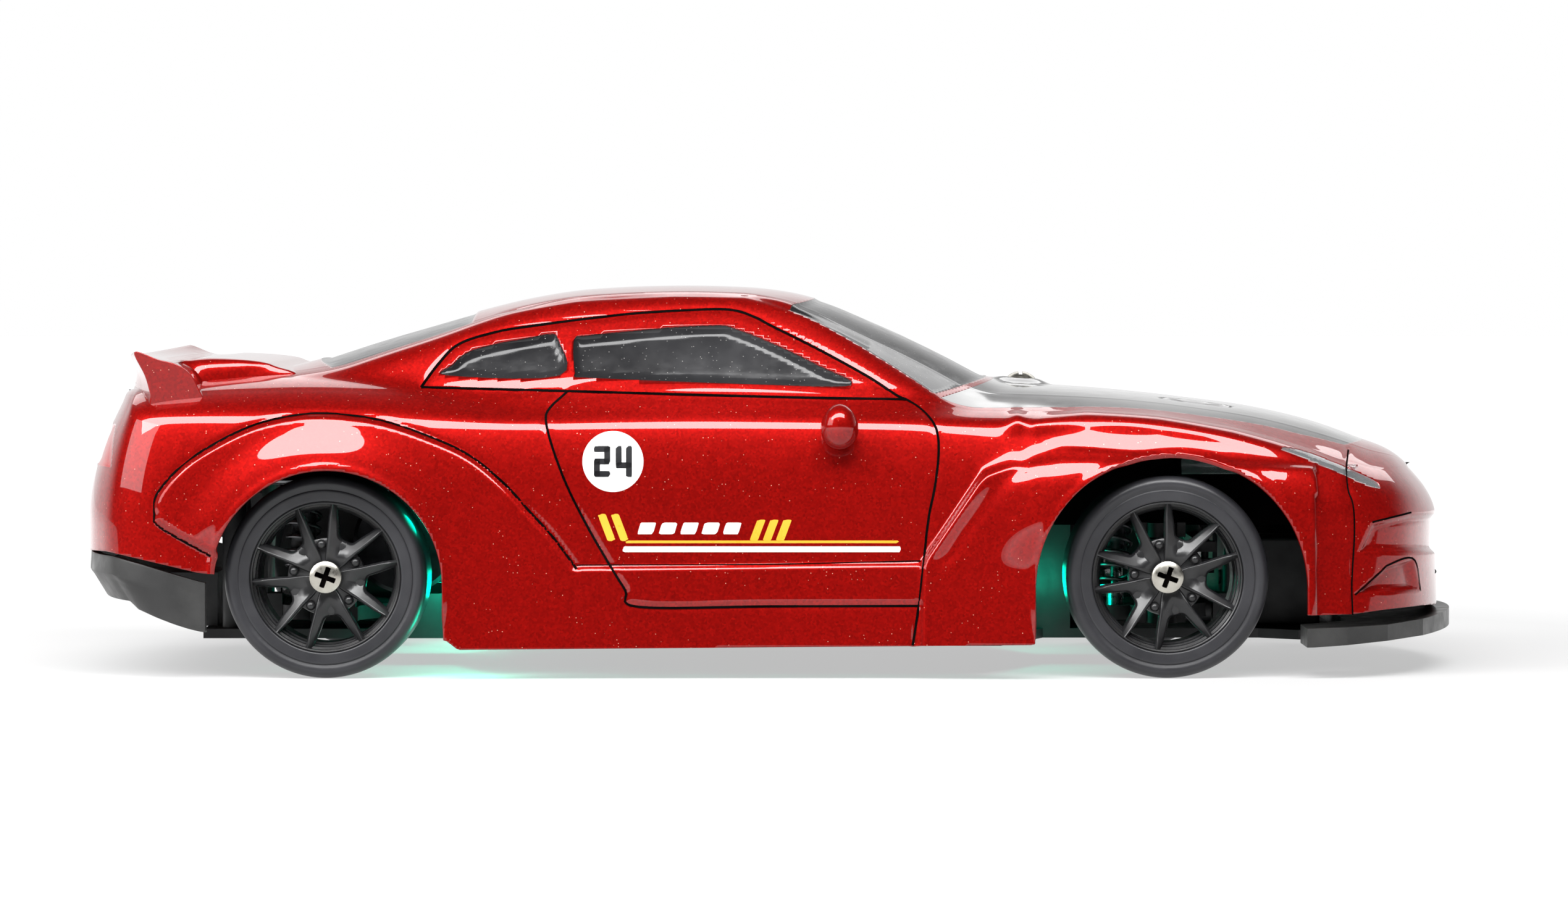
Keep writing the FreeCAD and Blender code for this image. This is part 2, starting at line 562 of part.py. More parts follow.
def make_gear_case():
    """The gearbox: a round case for the spur gear that narrows around the pinion."""
    x, half = REAR_AXLE_X, CASE_HALF_WIDTH
    outer = [rod_y(14.6, x, AXLE_Z, -half, half), rod_y(7.2, MOTOR_X, MOTOR_Z, -half, half)]
    outer.append(prism_y([(x - 7, 8), (x + 15, 8), (x + 15, 22), (MOTOR_X + 5, 32), (x - 2, 35)], -half, half))
    inner = [rod_y(13.2, x, AXLE_Z, -3, 3), rod_y(5.2, MOTOR_X, MOTOR_Z, -3, 3)]
    holes = [rod_y(3.0 + RUNNING_GAP, x, AXLE_Z, -half, half), rod_y(1.6, MOTOR_X, MOTOR_Z, -half, 0)]
    return joined(outer).cut(inner + holes + [box(-120, -60, -10, 10, 0, FLOOR_TOP)])


def make_motor():
    """The brushed motor's can with a stepped front, a rear bell and two terminals."""
    front = -CASE_HALF_WIDTH
    can = rod_y(MOTOR_RADIUS, MOTOR_X, MOTOR_Z, front - 28, front)
    can = can.makeChamfer(0.8, can.Edges)
    bell = rod_y(3.2, MOTOR_X, MOTOR_Z, front - 30, front - 27.5)
    tabs = [box(MOTOR_X - 1, MOTOR_X + 1, front - 31, front - 27, MOTOR_Z + z, MOTOR_Z + z + 0.6) for z in (-7, 6)]
    return joined([can, bell] + tabs).cut(rod_y(1.0 + RUNNING_GAP, MOTOR_X, MOTOR_Z, front - 8, front))


def make_servo():
    """The steering servo lying on its side, with its mounting ears."""
    case = box(97.4, 118, -11, 9, FLOOR_TOP, 27)
    case = case.makeFillet(0.8, case.Edges)
    ears = box(101, 103.2, -15, 13, 11, 24)
    holes = [rod_x(1.2, y, z, 100, 104) for y in (-13, 11) for z in (14, 21)]
    return joined([case, ears]).cut(holes + [rod_x(1.5 + RUNNING_GAP, 0, 18, 96, 101)])


def make_servo_horn():
    """The horn on the servo's output, with the pin that moves the drag link."""
    spline = rod_x(1.5, 0, 18, 93.4, 100.5)
    hub = rod_x(3.2, 0, 18, 93.4, 96.8)
    arm = box(93.4, 95.6, -1.8, 1.8, 18, 27)
    end = rod_x(1.8, 0, 27, 93.4, 95.6)
    pin = rod_x(1.0, 0, 27, 89.4, 94)
    return joined([spline, hub, arm, end, pin])


def make_drag_link():
    """The drag link: a bar with a slot at each end for the lever pins and an upright slot for the horn."""
    lever_x = FRONT_AXLE_X + STEERING_LEVER
    bar = box(lever_x - 1.5, lever_x + 1.5, -37, 37, 25.5, 27.6)
    wide = LINK_SLOT_HALF + 0.95
    ends = [box(lever_x - 3.2, lever_x + 2.2, y - wide, y + wide, 25.5, 27.6) for y in (-KINGPIN_Y, KINGPIN_Y)]
    bridges = [box(lever_x - 1.5, lever_x + 1.5, y0, y0 + 3, 25.5, 27.6) for y0 in (-38, 35)]
    middle = box(lever_x - 1.5, lever_x + 1.5, -3.2, 3.2, 23.4, 30)
    half = LINK_SLOT_HALF
    slots = [box(lever_x - 2.1, lever_x + 1.15, y - half, y + half, 20, 30) for y in (-KINGPIN_Y, KINGPIN_Y)]
    slots.append(box(lever_x - 4, lever_x + 4, -1.35, 1.35, 24.6, 28.8))
    return joined([bar, middle] + ends + bridges).cut(slots)


def make_battery():
    """The battery pack: two round cells under one wrap, on the car's left."""
    cells = [rod_x(9.2, y, 17.4, -50, 15) for y in (15.6, 34)]
    wrap = box(-50, 15, 15.6, 34, 8.2, 26.6)
    return joined(cells + [wrap])


def make_board():
    """The control unit: the receiver and speed controller in one finned box."""
    parts = [box(-48, 0, -40, -10, FLOOR_TOP, 19)]
    for fin in range(9):
        x = -42 + fin * 4
        parts.append(box(x, x + 1.4, -34, -16, 19, 23))
    return joined(parts)


def make_switch():
    """The power switch's base, with the slot that its slider runs in."""
    base = box(12, 26, -38, -28, FLOOR_TOP, 15)
    return base.cut([box(15, 23, -35.3, -30.7, 11, 16)])


def make_switch_slider():
    """The power switch's slider, standing at its off end."""
    slider = [box(15.3, 19.3, -35, -31, 11.4, 16.4), box(16.4, 18.2, -34.6, -31.4, 16.4, 17.4)]
    return joined(slider)


def make_underglow():
    """Six small light modules along each side wall, under the sills."""
    lamps = [box(x - 3, x + 3, 46, 48, 8.6, 12.6) for x in (-52, -34, -16, 2, 20, 38)]
    return both_sides(Part.makeCompound(lamps))


def make_body_posts(inner):
    """The post that the shell is screwed to and the two that its tail rests on."""
    front = rod_z(3.0, 54, 0, FLOOR_TOP, 70).fuse(rod_z(5, 54, 0, FLOOR_TOP, 11))
    rear = [rod_z(2.6, -115, side * 15, FLOOR_TOP, 70) for side in (1, -1)]
    posts = [front.cut(rod_z(1.2, 54, 0, 48, 80))] + rear
    return Part.makeCompound([post.common(inner) for post in posts])


def make_body_screw():
    """The screw that holds the shell to its front post."""
    screw = make_pan_screw(9.0, 0)
    screw.rotate(V(0, 0, 0), V(1, 0, 0), 90)
    screw.translate(V(54, 0, along(54, DECK_Z) + 0.35))
    return screw


def export_pair(stem, shape):
    """Write a left piece and its mirror image."""
    export(stem + "_left", shape)
    export(stem + "_right", other_side(shape))


def export_body():
    """Write the shell and what is fixed to it."""
    outer = body_solid(0, 2.0)
    inner = body_solid(WALL, -6.0)
    for name, shape in make_shell(outer, inner).items():
        export(name, shape)
    export("rear_wing", make_rear_wing(outer))
    export("rear_valance", make_valance())
    export("front_splitter", make_splitter())
    export("wing_mirrors", both_sides(make_mirror(outer)))
    export("body_posts", make_body_posts(inner))
    export("body_screw", make_body_screw())


def export_chassis():
    """Write the tub and what is fixed to it."""
    export("chassis_tub", make_tub())
    export("tower_front", make_tower(64, 66.5))
    export("tower_rear", make_tower(-111, -108.5))
    dampers = [make_damper_body(FRONT_DAMPER_X, 64), make_damper_body(REAR_DAMPER_X, -111)]
    export("damper_bodies", Part.makeCompound(dampers + [other_side(d) for d in dampers]))
    export("gear_case", make_gear_case())
    export("motor_can", make_motor())
    export("steering_servo", make_servo())
    export("battery_pack", make_battery())
    export("control_unit", make_board())
    export("switch_base", make_switch())
    export("underglow_lights", make_underglow())


def export_moving():
    """Write everything that turns or slides."""
    front_arm = make_front_arm()
    rear_arm = make_arm(REAR_AXLE_X, REAR_DAMPER_X)
    export_pair("arm_front", front_arm)
    export_pair("arm_rear", rear_arm)
    export_pair("damper_rod_front", make_damper_rod(FRONT_DAMPER_X, front_arm))
    export_pair("damper_rod_rear", make_damper_rod(REAR_DAMPER_X, rear_arm))
    export_pair("spring_front", make_spring(FRONT_DAMPER_X))
    export_pair("spring_rear", make_spring(REAR_DAMPER_X))
    export_pair("hub_carrier", make_hub_carrier())
    export_pair("knuckle", make_knuckle())
    export_pair("rear_axle", make_rear_axle())
    export_pair("tyre_front", make_tyre(FRONT_AXLE_X))
    export_pair("tyre_rear", make_tyre(REAR_AXLE_X))
    export_pair("rim_front", make_rim(FRONT_AXLE_X, FRONT_SPOKE_ANGLE, False))
    export_pair("rim_rear", make_rim(REAR_AXLE_X, REAR_SPOKE_ANGLE, True))
    export_pair("wheel_screw_front", make_wheel_screw(FRONT_AXLE_X))
    export_pair("wheel_screw_rear", make_wheel_screw(REAR_AXLE_X))
    export("servo_horn", make_servo_horn())
    export("drag_link", make_drag_link())
    export("differential", make_differential())
    export("motor_pinion", make_pinion())
    export("switch_slider", make_switch_slider())


os.makedirs("parts", exist_ok=True)
export_body()
export_chassis()
export_moving()
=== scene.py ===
"""Looks for a 1:16 radio-controlled drift car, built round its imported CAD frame.

Shapes are worked out in millimetres in the row frame and scaled to metres when their mesh is made.
"""

import math

import bpy
import numpy as np
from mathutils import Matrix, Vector
from mathutils.bvhtree import BVHTree

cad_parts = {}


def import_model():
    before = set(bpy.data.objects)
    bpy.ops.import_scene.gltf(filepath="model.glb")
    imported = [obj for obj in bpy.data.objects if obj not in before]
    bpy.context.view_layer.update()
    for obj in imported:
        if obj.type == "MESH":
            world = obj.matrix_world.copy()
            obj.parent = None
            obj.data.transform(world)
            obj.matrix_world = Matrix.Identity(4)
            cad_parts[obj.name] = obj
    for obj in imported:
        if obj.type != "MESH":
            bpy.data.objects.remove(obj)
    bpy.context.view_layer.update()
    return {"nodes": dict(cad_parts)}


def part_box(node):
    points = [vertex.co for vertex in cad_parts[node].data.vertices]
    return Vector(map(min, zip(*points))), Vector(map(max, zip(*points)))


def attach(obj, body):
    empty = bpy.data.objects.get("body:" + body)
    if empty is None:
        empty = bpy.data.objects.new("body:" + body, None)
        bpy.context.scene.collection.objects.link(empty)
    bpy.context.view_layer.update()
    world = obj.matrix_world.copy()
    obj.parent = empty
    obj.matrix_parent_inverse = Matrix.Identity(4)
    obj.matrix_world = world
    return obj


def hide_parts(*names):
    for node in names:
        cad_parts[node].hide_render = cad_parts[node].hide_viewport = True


MM = 0.001
SIDES = ((-1, "right"), (1, "left"))
REAR_AXLE = (-92.0, 21.0)
FRONT_AXLE = (82.0, 21.0)
REAR_ARCH = (-91.7, 19.2, 24.0)
FRONT_ARCH = (82.8, 18.3, 28.2)
FLANK_ROWS = 92
WINDSCREEN_BOW = 0.0058
REAR_SCREEN_BOW = 0.0035

# Panel lines are drawn on a side view from 1.2 m, as (x, z) on the plane |y| = 60 mm.
EYE = (2.75, 1200.0, 84.0)
DRAWING_Y = 60.0
TILT_DROP = 520.4
DRAWING_SCALE = 6.195
DRAWING_REACH = 7062

# The shell's outline from above, tail to nose: (x, |y|, shoulder height, inset of the shoulder)
OUTLINE = [
    (-145.7, 0, 57.0, 7.6), (-145.35, 15, 57.0, 7.6), (-144.3, 30, 56.8, 7.4), (-142.2, 42, 56.4, 7.0),
    (-139.5, 50, 56.0, 6.2), (-136, 55.5, 55.6, 5.2), (-130, 58.8, 55.4, 4.6), (-120, 60.8, 55.3, 4.4),
    (-105, 62.0, 55.3, 4.6), (-92, 62.4, 55.3, 4.8), (-78, 62.0, 55.0, 4.8), (-65, 60.8, 54.4, 4.6),
    (-50, 59.8, 54.0, 4.4), (-30, 59.0, 54.0, 4.2), (0, 58.8, 54.0, 4.2), (25, 59.0, 54.0, 4.4),
    (45, 60.2, 53.4, 4.8), (60, 61.4, 53.6, 5.0), (75, 62.2, 53.4, 5.2), (90, 62.3, 51.4, 5.4),
    (104, 61.3, 48.2, 5.4), (115, 59.3, 44.6, 5.2), (124, 56.0, 42.2, 5.0), (130, 52.0, 41.2, 5.2),
    (134.5, 46, 41.2, 5.6), (138.5, 36, 41.6, 6.0), (141.5, 23, 42.0, 6.0), (143, 10, 42.2, 6.0),
    (143.3, 0, 42.2, 6.0),
]
DECK = [
    (-147, 56.5), (-138, 58.6), (-132, 60.5), (-120, 62.2), (-103, 63.3), (-60, 62), (0, 61), (48, 60.3),
    (60, 59.7), (73.5, 58.7), (90, 56.9), (105, 54.8), (118, 51.6), (126, 48.7), (134.6, 45), (138, 42.2),
]
ROOF = [
    (-150, 10), (-110, 60.5), (-103.3, 63.3), (-94.9, 66.1), (-84.4, 69.5), (-73.8, 72.6), (-63.3, 75.6),
    (-52.8, 78.2), (-42.2, 80), (-31.7, 80.8), (-21.2, 81.1), (-10.7, 81.0), (0, 80.3), (6, 79.3),
    (12.5, 77.4), (20.9, 73.9), (31.4, 69.2), (42, 63.8), (48.3, 60.3), (60, 53), (75, 38), (150, -40),
]
BELT = [(-110, 41), (-95, 45), (-80, 48), (-60, 49.3), (20, 49.3), (36, 48), (60, 46)]

# Panel lines on the drawing
REAR_FLARE = [
    (-115.5, 25.5), (-126, 31.5), (-127, 34), (-126.6, 38), (-122, 43.5), (-116, 47.8), (-107, 52.3),
    (-98, 54.5), (-90, 54.8), (-80, 53.4), (-70, 50), (-62, 46.2), (-55, 40.5), (-50, 35), (-45, 29.5),
    (-40, 22.8),
]
DOOR = [
    (-42, 59.3), (-45.5, 56), (-46.3, 53.5), (-45, 48), (-42, 40), (-38, 32), (-34, 25), (-30, 18.5),
    (-27.3, 15), (0, 15.1), (30.5, 15.2),
]
DOOR_FRONT = [
    (29.3, 7), (30.5, 15), (31.3, 22), (32.5, 33), (33.7, 39), (34.5, 45), (34.5, 50), (33.5, 53),
    (31, 55.8), (28, 57.8),
]
CABIN_SEAM = [
    (-72, 60.3), (-68.5, 65), (-64.5, 69), (-58, 71.3), (-50, 72.8), (-30, 75.3), (-16, 76.2), (-8, 76.2),
    (-3, 74.6), (0, 73), (10, 68), (20, 62.5), (26, 58.6), (28, 57.8),
]
BELT_SEAM = [(-72, 60.3), (-42, 59.5), (0, 58.3), (28, 57.8)]
BUMPER_SEAM = [(119, 47.4), (118.6, 43), (119, 39), (120, 36), (120.3, 30), (119.8, 20), (120, 13.3)]
SILL_CREASE = [(-40, 23.6), (0, 23.8), (31, 24.5)]
QUARTER_WINDOW = [
    (-67, 62.8), (-65.5, 65), (-62.5, 67.5), (-57, 69.2), (-50, 70.5), (-45.5, 71.3), (-43.8, 70.3),
    (-43.5, 62.7),
]
MAIN_WINDOW = [
    (-40.5, 70.2), (-38, 71), (-30, 71.8), (-20, 72.7), (-11, 73.1), (-8, 72.7), (0, 69.6), (10, 64.8),
    (17, 60.8), (0, 60.8), (-38, 62.3), (-40.2, 63),
]
HEADLIGHT = [
    (105, 47.8), (112, 44.9), (118, 42.3), (122, 40.5), (125.5, 39.4), (124.8, 40.9), (121, 42.8),
    (115, 45.4), (109, 47.5),
]
WING_END = [
    (-128, 54), (-128.7, 58.5), (-129.8, 62.5), (-132, 67.5), (-127, 65.9), (-123.5, 65), (-120.8, 63.4),
    (-119, 60.5), (-117.6, 55),
]
WING_MIDDLE = [
    (-137, 56), (-137, 59.5), (-136.2, 62.8), (-136.6, 66.4), (-128, 65.6), (-118, 66), (-109, 65.5),
    (-104.2, 64.4), (-101.5, 61.5),
]
FRONT_FLARE = [(31.2, 0), (31.5, 24.5), (44, 42.8), (49, 45.5), (60, 48), (112, 44), (116, 20), (112, 0)]
NOSE_DUCT = [(120.5, 17.5), (126, 22.5), (127, 23.5), (132.5, 25), (134, 18.3)]
NOSE_RECESS = [(124, 32.5), (132, 34.5)]

# name, dark, light, roughness, grain size, grain depth, coat, shine
PLASTICS = {
    "bonnet": ("bonnet_black", (0.014, 0.013, 0.013), (0.03, 0.027, 0.027), (0.12, 0.22), 1500, 0.06, 1.0),
    "trim": ("trim_black", (0.018, 0.018, 0.018), (0.040, 0.040, 0.039), (0.30, 0.46), 1100, 0.35),
    # Near black. On the drawn panel lines it is the real line colour; on the shell's inner face, the ribs
    # and the screw recesses it is painted shade.
    "seam_and_shade": ("seam_and_shade_black", (0.002, 0.0015, 0.0015), (0.005, 0.004, 0.004), (0.9, 0.95), 800, 0.1, 0.0, 0.0),
    "tyre": ("tyre_plastic", (0.014, 0.014, 0.017), (0.027, 0.027, 0.031), (0.36, 0.46), 900, 0.2),
    "rim": ("rim_black", (0.008, 0.008, 0.009), (0.018, 0.018, 0.019), (0.26, 0.4), 1000, 0.15, 0.15),
    "chassis": ("chassis_black", (0.012, 0.012, 0.013), (0.03, 0.03, 0.032), (0.42, 0.58), 900, 0.3),
    "nylon": ("nylon", (0.55, 0.54, 0.5), (0.68, 0.67, 0.62), (0.35, 0.5), 700, 0.15),
    "battery": ("battery_wrap", (0.01, 0.05, 0.22), (0.02, 0.08, 0.32), (0.2, 0.35), 500, 0.1),
    "control": ("control_box", (0.01, 0.015, 0.03), (0.02, 0.03, 0.05), (0.4, 0.55), 900, 0.2),
    "switch": ("switch_red", (0.35, 0.01, 0.01), (0.5, 0.02, 0.02), (0.35, 0.5), 900, 0.15),
    "white_ink": ("white_ink", (0.78, 0.78, 0.77), (0.86, 0.86, 0.85), (0.25, 0.35), 600, 0.05, 0.5),
    "black_ink": ("black_ink", (0.01, 0.01, 0.012), (0.02, 0.02, 0.022), (0.25, 0.35), 600, 0.05, 0.5),
    "yellow_ink": ("yellow_ink", (0.80, 0.36, 0.02), (0.88, 0.44, 0.04), (0.25, 0.35), 600, 0.05, 0.5),
}
# name, dark, light, roughness, grain size
METALS = {
    "nickel": ("nickel", (0.46, 0.44, 0.39), (0.60, 0.58, 0.52), (0.24, 0.36), 500),
    "steel": ("steel", (0.42, 0.42, 0.43), (0.6, 0.6, 0.6), (0.22, 0.38), 400),
    "spring": ("spring_steel", (0.12, 0.12, 0.13), (0.25, 0.25, 0.26), (0.3, 0.45), 400),
    "alloy": ("damper_alloy", (0.45, 0.46, 0.48), (0.6, 0.61, 0.63), (0.25, 0.4), 350),
    "can": ("motor_black", (0.015, 0.015, 0.017), (0.035, 0.035, 0.038), (0.35, 0.5), 400),
    "brass": ("brass", (0.6, 0.42, 0.15), (0.78, 0.58, 0.25), (0.2, 0.35), 400),
}
# name, tint, roughness, transmission
CLEAR = {
    "clear": ("lamp_clear", (0.82, 0.84, 0.86), 0.05, 0.85),
    "lamp_red": ("lamp_red", (0.55, 0.01, 0.01), 0.06, 0.35),
}


# ---- number helpers


def along(x, line):
    """Smooth value of (x, value) pairs at each x."""
    xs, vs = np.array(line, float).T
    slopes = np.gradient(vs, xs)
    k = np.clip(np.searchsorted(xs, x) - 1, 0, len(xs) - 2)
    width = xs[k + 1] - xs[k]
    t = np.clip((x - xs[k]) / width, 0, 1)
    a, b = vs[k], vs[k + 1]
    return (
        a * (1 + 2 * t) * (1 - t) ** 2
        + b * t * t * (3 - 2 * t)
        + width * slopes[k] * t * (1 - t) ** 2
        - width * slopes[k + 1] * t * t * (1 - t)
    )


def step(x, low, high):
    """Smooth 0 to 1 as x goes from low to high."""
    t = np.clip((x - low) / (high - low), 0, 1)
    return t * t * (3 - 2 * t)


def smooth_max(a, b, k):
    """The larger of two heights, with a fillet of size k."""
    h = np.clip(0.5 + 0.5 * (a - b) / k, 0, 1)
    return b + (a - b) * h + k * h * (1 - h)


def smooth_min(a, b, k):
    """The smaller of two heights, with a fillet of size k."""
    return -smooth_max(-a, -b, k)


def rounded(points, closed=False, steps=6):
    """A Catmull-Rom curve through the points."""
    p = np.array(points, float)
    ring = np.vstack([p[-1], p, p[:2]]) if closed else np.vstack([2 * p[0] - p[1], p, 2 * p[-1] - p[-2]])
    out = []
    for a, b, c, d in zip(ring, ring[1:], ring[2:], ring[3:]):
        for t in np.arange(steps) / steps:
            bend, twist = 2 * a - 5 * b + 4 * c - d, 3 * b - a - 3 * c + d
            out.append((2 * b + (c - a) * t + bend * t * t + twist * t**3) / 2)
    return np.array(out if closed else out + [p[-1]])


def line_distance(x, z, points):
    """Distance from each (x, z) to an open line."""
    best = np.full(x.shape, 1e9)
    for (x0, z0), (x1, z1) in zip(points, points[1:]):
        dx, dz = x1 - x0, z1 - z0
        t = np.clip(((x - x0) * dx + (z - z0) * dz) / (dx * dx + dz * dz + 1e-12), 0, 1)
        best = np.minimum(best, (x - x0 - t * dx) ** 2 + (z - z0 - t * dz) ** 2)
    return np.sqrt(best)


def inside(x, z, points):
    """Signed distance to a closed outline, positive inside."""
    ring = np.vstack([points, points[:1]])
    crossings = np.zeros(x.shape, int)
    for (x0, z0), (x1, z1) in zip(ring, ring[1:]):
        spans = (z0 > z) != (z1 > z)
        cut = x0 + (z - z0) * (x1 - x0) / (z1 - z0 + 1e-12)
        crossings += spans & (x < cut)
    return np.where(crossings % 2 == 1, 1, -1) * line_distance(x, z, ring)


def drawing(p):
    """Where each point of the shell lies on the side drawing, as (x, z)."""
    depth = EYE[1] - np.abs(p[:, 1])
    x = (p[:, 0] - EYE[0]) * (EYE[1] - DRAWING_Y) / depth + EYE[0]
    z = (TILT_DROP - (EYE[2] - p[:, 2]) * DRAWING_REACH / depth) / DRAWING_SCALE
    return x, z


# ---- mesh helpers


def mesh_object(name, verts, faces, material, body="chassis", smooth=True, flat_angle=None):
    """A mesh object from millimetre points, riding on a body."""
    mesh = bpy.data.meshes.new(name)
    verts = np.asarray(verts, float)
    places = verts.reshape(-1, verts.shape[-1])[:, :3] * MM
    mesh.from_pydata(places.tolist(), [], [list(map(int, f)) for f in faces])
    mesh.validate()
    mesh.materials.append(material)
    for polygon in mesh.polygons:
        polygon.use_smooth = smooth
    obj = bpy.data.objects.new(name, mesh)
    bpy.context.collection.objects.link(obj)
    if flat_angle:
        bpy.context.view_layer.objects.active = obj
        obj.select_set(True)
        bpy.ops.object.shade_smooth_by_angle(angle=math.radians(flat_angle))
        obj.select_set(False)
    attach(obj, body)
    return obj


def bevel(obj, width, segments):
    """Rounded edges, width in millimetres."""
    edge = obj.modifiers.new("edge", "BEVEL")
    edge.width, edge.segments, edge.limit_method = width * MM, segments, "ANGLE"


def clip(points, tris, value):
    """The part of a triangle mesh where value, one number per point, is positive."""
    keep = value > 0
    count = keep[tris].sum(1)

    def lead(part, flags):
        turn = np.argmax(flags[part], axis=1)
        rows = np.arange(len(part))
        return np.stack([part[rows, turn], part[rows, (turn + 1) % 3], part[rows, (turn + 2) % 3]], 1)

    one = lead(tris[count == 1], keep)
    two = lead(tris[count == 2], ~keep)
    pairs = np.vstack([one[:, [0, 1]], one[:, [0, 2]], two[:, [0, 1]], two[:, [0, 2]]])
    ends, where = np.unique(np.sort(pairs, 1), axis=0, return_inverse=True)
    a, b = value[ends[:, 0]], value[ends[:, 1]]
    t = (a / (a - b))[:, None]
    fresh = points[ends[:, 0]] * (1 - t) + points[ends[:, 1]] * t
    where = where.reshape(-1) + len(points)
    n1, n2 = len(one), len(two)
    one_ab, one_ac = where[:n1], where[n1 : 2 * n1]
    two_ab, two_ac = where[2 * n1 : 2 * n1 + n2], where[2 * n1 + n2 :]
    parts = [
        tris[count == 3],
        np.stack([one[:, 0], one_ab, one_ac], 1),
        np.stack([two_ab, two[:, 1], two[:, 2]], 1),
        np.stack([two_ab, two[:, 2], two_ac], 1),
    ]
    points, tris = np.vstack([points, fresh]), np.vstack(parts)
    used, tris = np.unique(tris, return_inverse=True)
    return points[used], tris.reshape(-1, 3)


def rim_edges(tris):
    """The edges on a mesh's border, in their triangle's order."""
    edges = np.vstack([tris[:, [0, 1]], tris[:, [1, 2]], tris[:, [2, 0]]])
    _, first, count = np.unique(np.sort(edges, 1), axis=0, return_index=True, return_counts=True)
    return edges[first[count == 1]]


def with_lip(points, tris, depth):
    """The skin with its border turned inward, as a moulded edge of that depth."""
    border = rim_edges(tris)
    border = border[np.abs(points[border, 1]).max(1) > 1e-6]
    ids, where = np.unique(border, return_inverse=True)
    where = where.reshape(-1, 2)
    inner = points[ids].copy()
    inner[:, :3] -= depth * inner[:, 3:6]
    base = len(points)
    a, b = border[:, 0], border[:, 1]
    ia, ib = base + where[:, 0], base + where[:, 1]
    wall = np.vstack([np.stack([b, a, ia], 1), np.stack([b, ia, ib], 1)])
    return np.vstack([points, inner]), np.vstack([tris, wall])


def mirrored(points, tris):
    """A piece of skin on the other side of the car."""
    other = points.copy()
    other[:, 1] *= -1
    other[:, 4] *= -1
    return other, tris[:, ::-1]


def welded(points, tris):
    """A piece of skin and its mirror image, joined along the centre line."""
    other, turned = mirrored(points, tris)
    middle = np.abs(points[:, 1]) < 1e-6
    fresh = np.cumsum(~middle) - 1 + len(points)
    place = np.where(middle, np.arange(len(points)), fresh)
    return np.vstack([points, other[~middle]]), np.vstack([tris, place[turned]])


def grid_tris(rows, columns):
    """Triangles of a rows by columns grid of points."""
    n = np.arange(rows * columns).reshape(rows, columns)
    a, b, c, d = n[:-1, :-1].ravel(), n[:-1, 1:].ravel(), n[1:, 1:].ravel(), n[1:, :-1].ravel()
    return np.vstack([np.stack([a, b, c], 1), np.stack([a, c, d], 1)])


def grid_quads(rows, columns, wrap=False):
    """Quads of a rows by columns grid of points; wrap joins the last row to the first."""
    faces = []
    for r in range(rows if wrap else rows - 1):
        s = (r + 1) % rows
        here, there = r * columns, s * columns
        faces += [(here + c, here + c + 1, there + c + 1, there + c) for c in range(columns - 1)]
    return faces


def lathe(profile, centre, side, segments=128):
    """Points and quads of a (radius, y) outline turned about a wheel's axis."""
    x, z = centre
    points = []
    for k in range(segments):
        a = 2 * math.pi * k / segments
        points += [(x + r * math.cos(a), side * y, z + r * math.sin(a)) for r, y in profile]
    faces = grid_quads(segments, len(profile), wrap=True)
    return points, faces if side < 0 else [f[::-1] for f in faces]


# ---- materials


class Nodes:
    """A material's node tree, with short calls to add and link nodes."""

    def __init__(self, name):
        self.material = bpy.data.materials.new(name)
        self.material.use_nodes = True
        self.tree = self.material.node_tree
        self.shader = self.tree.nodes["Principled BSDF"]
        self.place = self.add("ShaderNodeTexCoord").outputs["Object"]

    def add(self, kind, **settings):
        node = self.tree.nodes.new(kind)
        for key, value in settings.items():
            if key in node.inputs:
                node.inputs[key].default_value = value
            else:
                setattr(node, key, value)
        return node

    def link(self, source, target):
        self.tree.links.new(source, target)

    def noise(self, scale, detail=3.0, roughness=0.5):
        node = self.add("ShaderNodeTexNoise", Scale=scale, Detail=detail, Roughness=roughness)
        self.link(self.place, node.inputs["Vector"])
        return node.outputs["Fac"]

    def cells(self, scale):
        node = self.add("ShaderNodeTexVoronoi", Scale=scale)
        self.link(self.place, node.inputs["Vector"])
        return node

    def ramp(self, source, stops):
        node = self.add("ShaderNodeValToRGB")
        for _ in range(len(stops) - 2):
            node.color_ramp.elements.new(0.5)
        for element, (place, colour) in zip(node.color_ramp.elements, stops):
            element.position = place
            element.color = (*colour, 1)
        self.link(source, node.inputs["Fac"])
        return node.outputs["Color"]

    def spread(self, source, low, high, start=0.3, end=0.7):
        node = self.add("ShaderNodeMapRange")
        for key, value in zip(("From Min", "From Max", "To Min", "To Max"), (start, end, low, high)):
            node.inputs[key].default_value = value
        self.link(source, node.inputs["Value"])
        return node.outputs["Result"]

    def mix(self, factor, a, b):
        node = self.add("ShaderNodeMix", data_type="RGBA")
        self.link(factor, node.inputs["Factor"])
        for source, socket in ((a, node.inputs[6]), (b, node.inputs[7])):
            if isinstance(source, tuple):
                socket.default_value = (*source, 1)
            else:
                self.link(source, socket)
        return node.outputs[2]

    def bump(self, *layers):
        previous = None
        for source, strength, distance in layers:
            node = self.add("ShaderNodeBump", Strength=strength, Distance=distance)
            self.link(source, node.inputs["Height"])
            if previous:
                self.link(previous, node.inputs["Normal"])
            previous = node.outputs["Normal"]
        self.link(previous, self.shader.inputs["Normal"])

    def set(self, **values):
        for key, value in values.items():
            name = key.replace("_", " ")
            if isinstance(value, bpy.types.NodeSocket):
                self.link(value, self.shader.inputs[name])
            else:
                self.shader.inputs[name].default_value = value


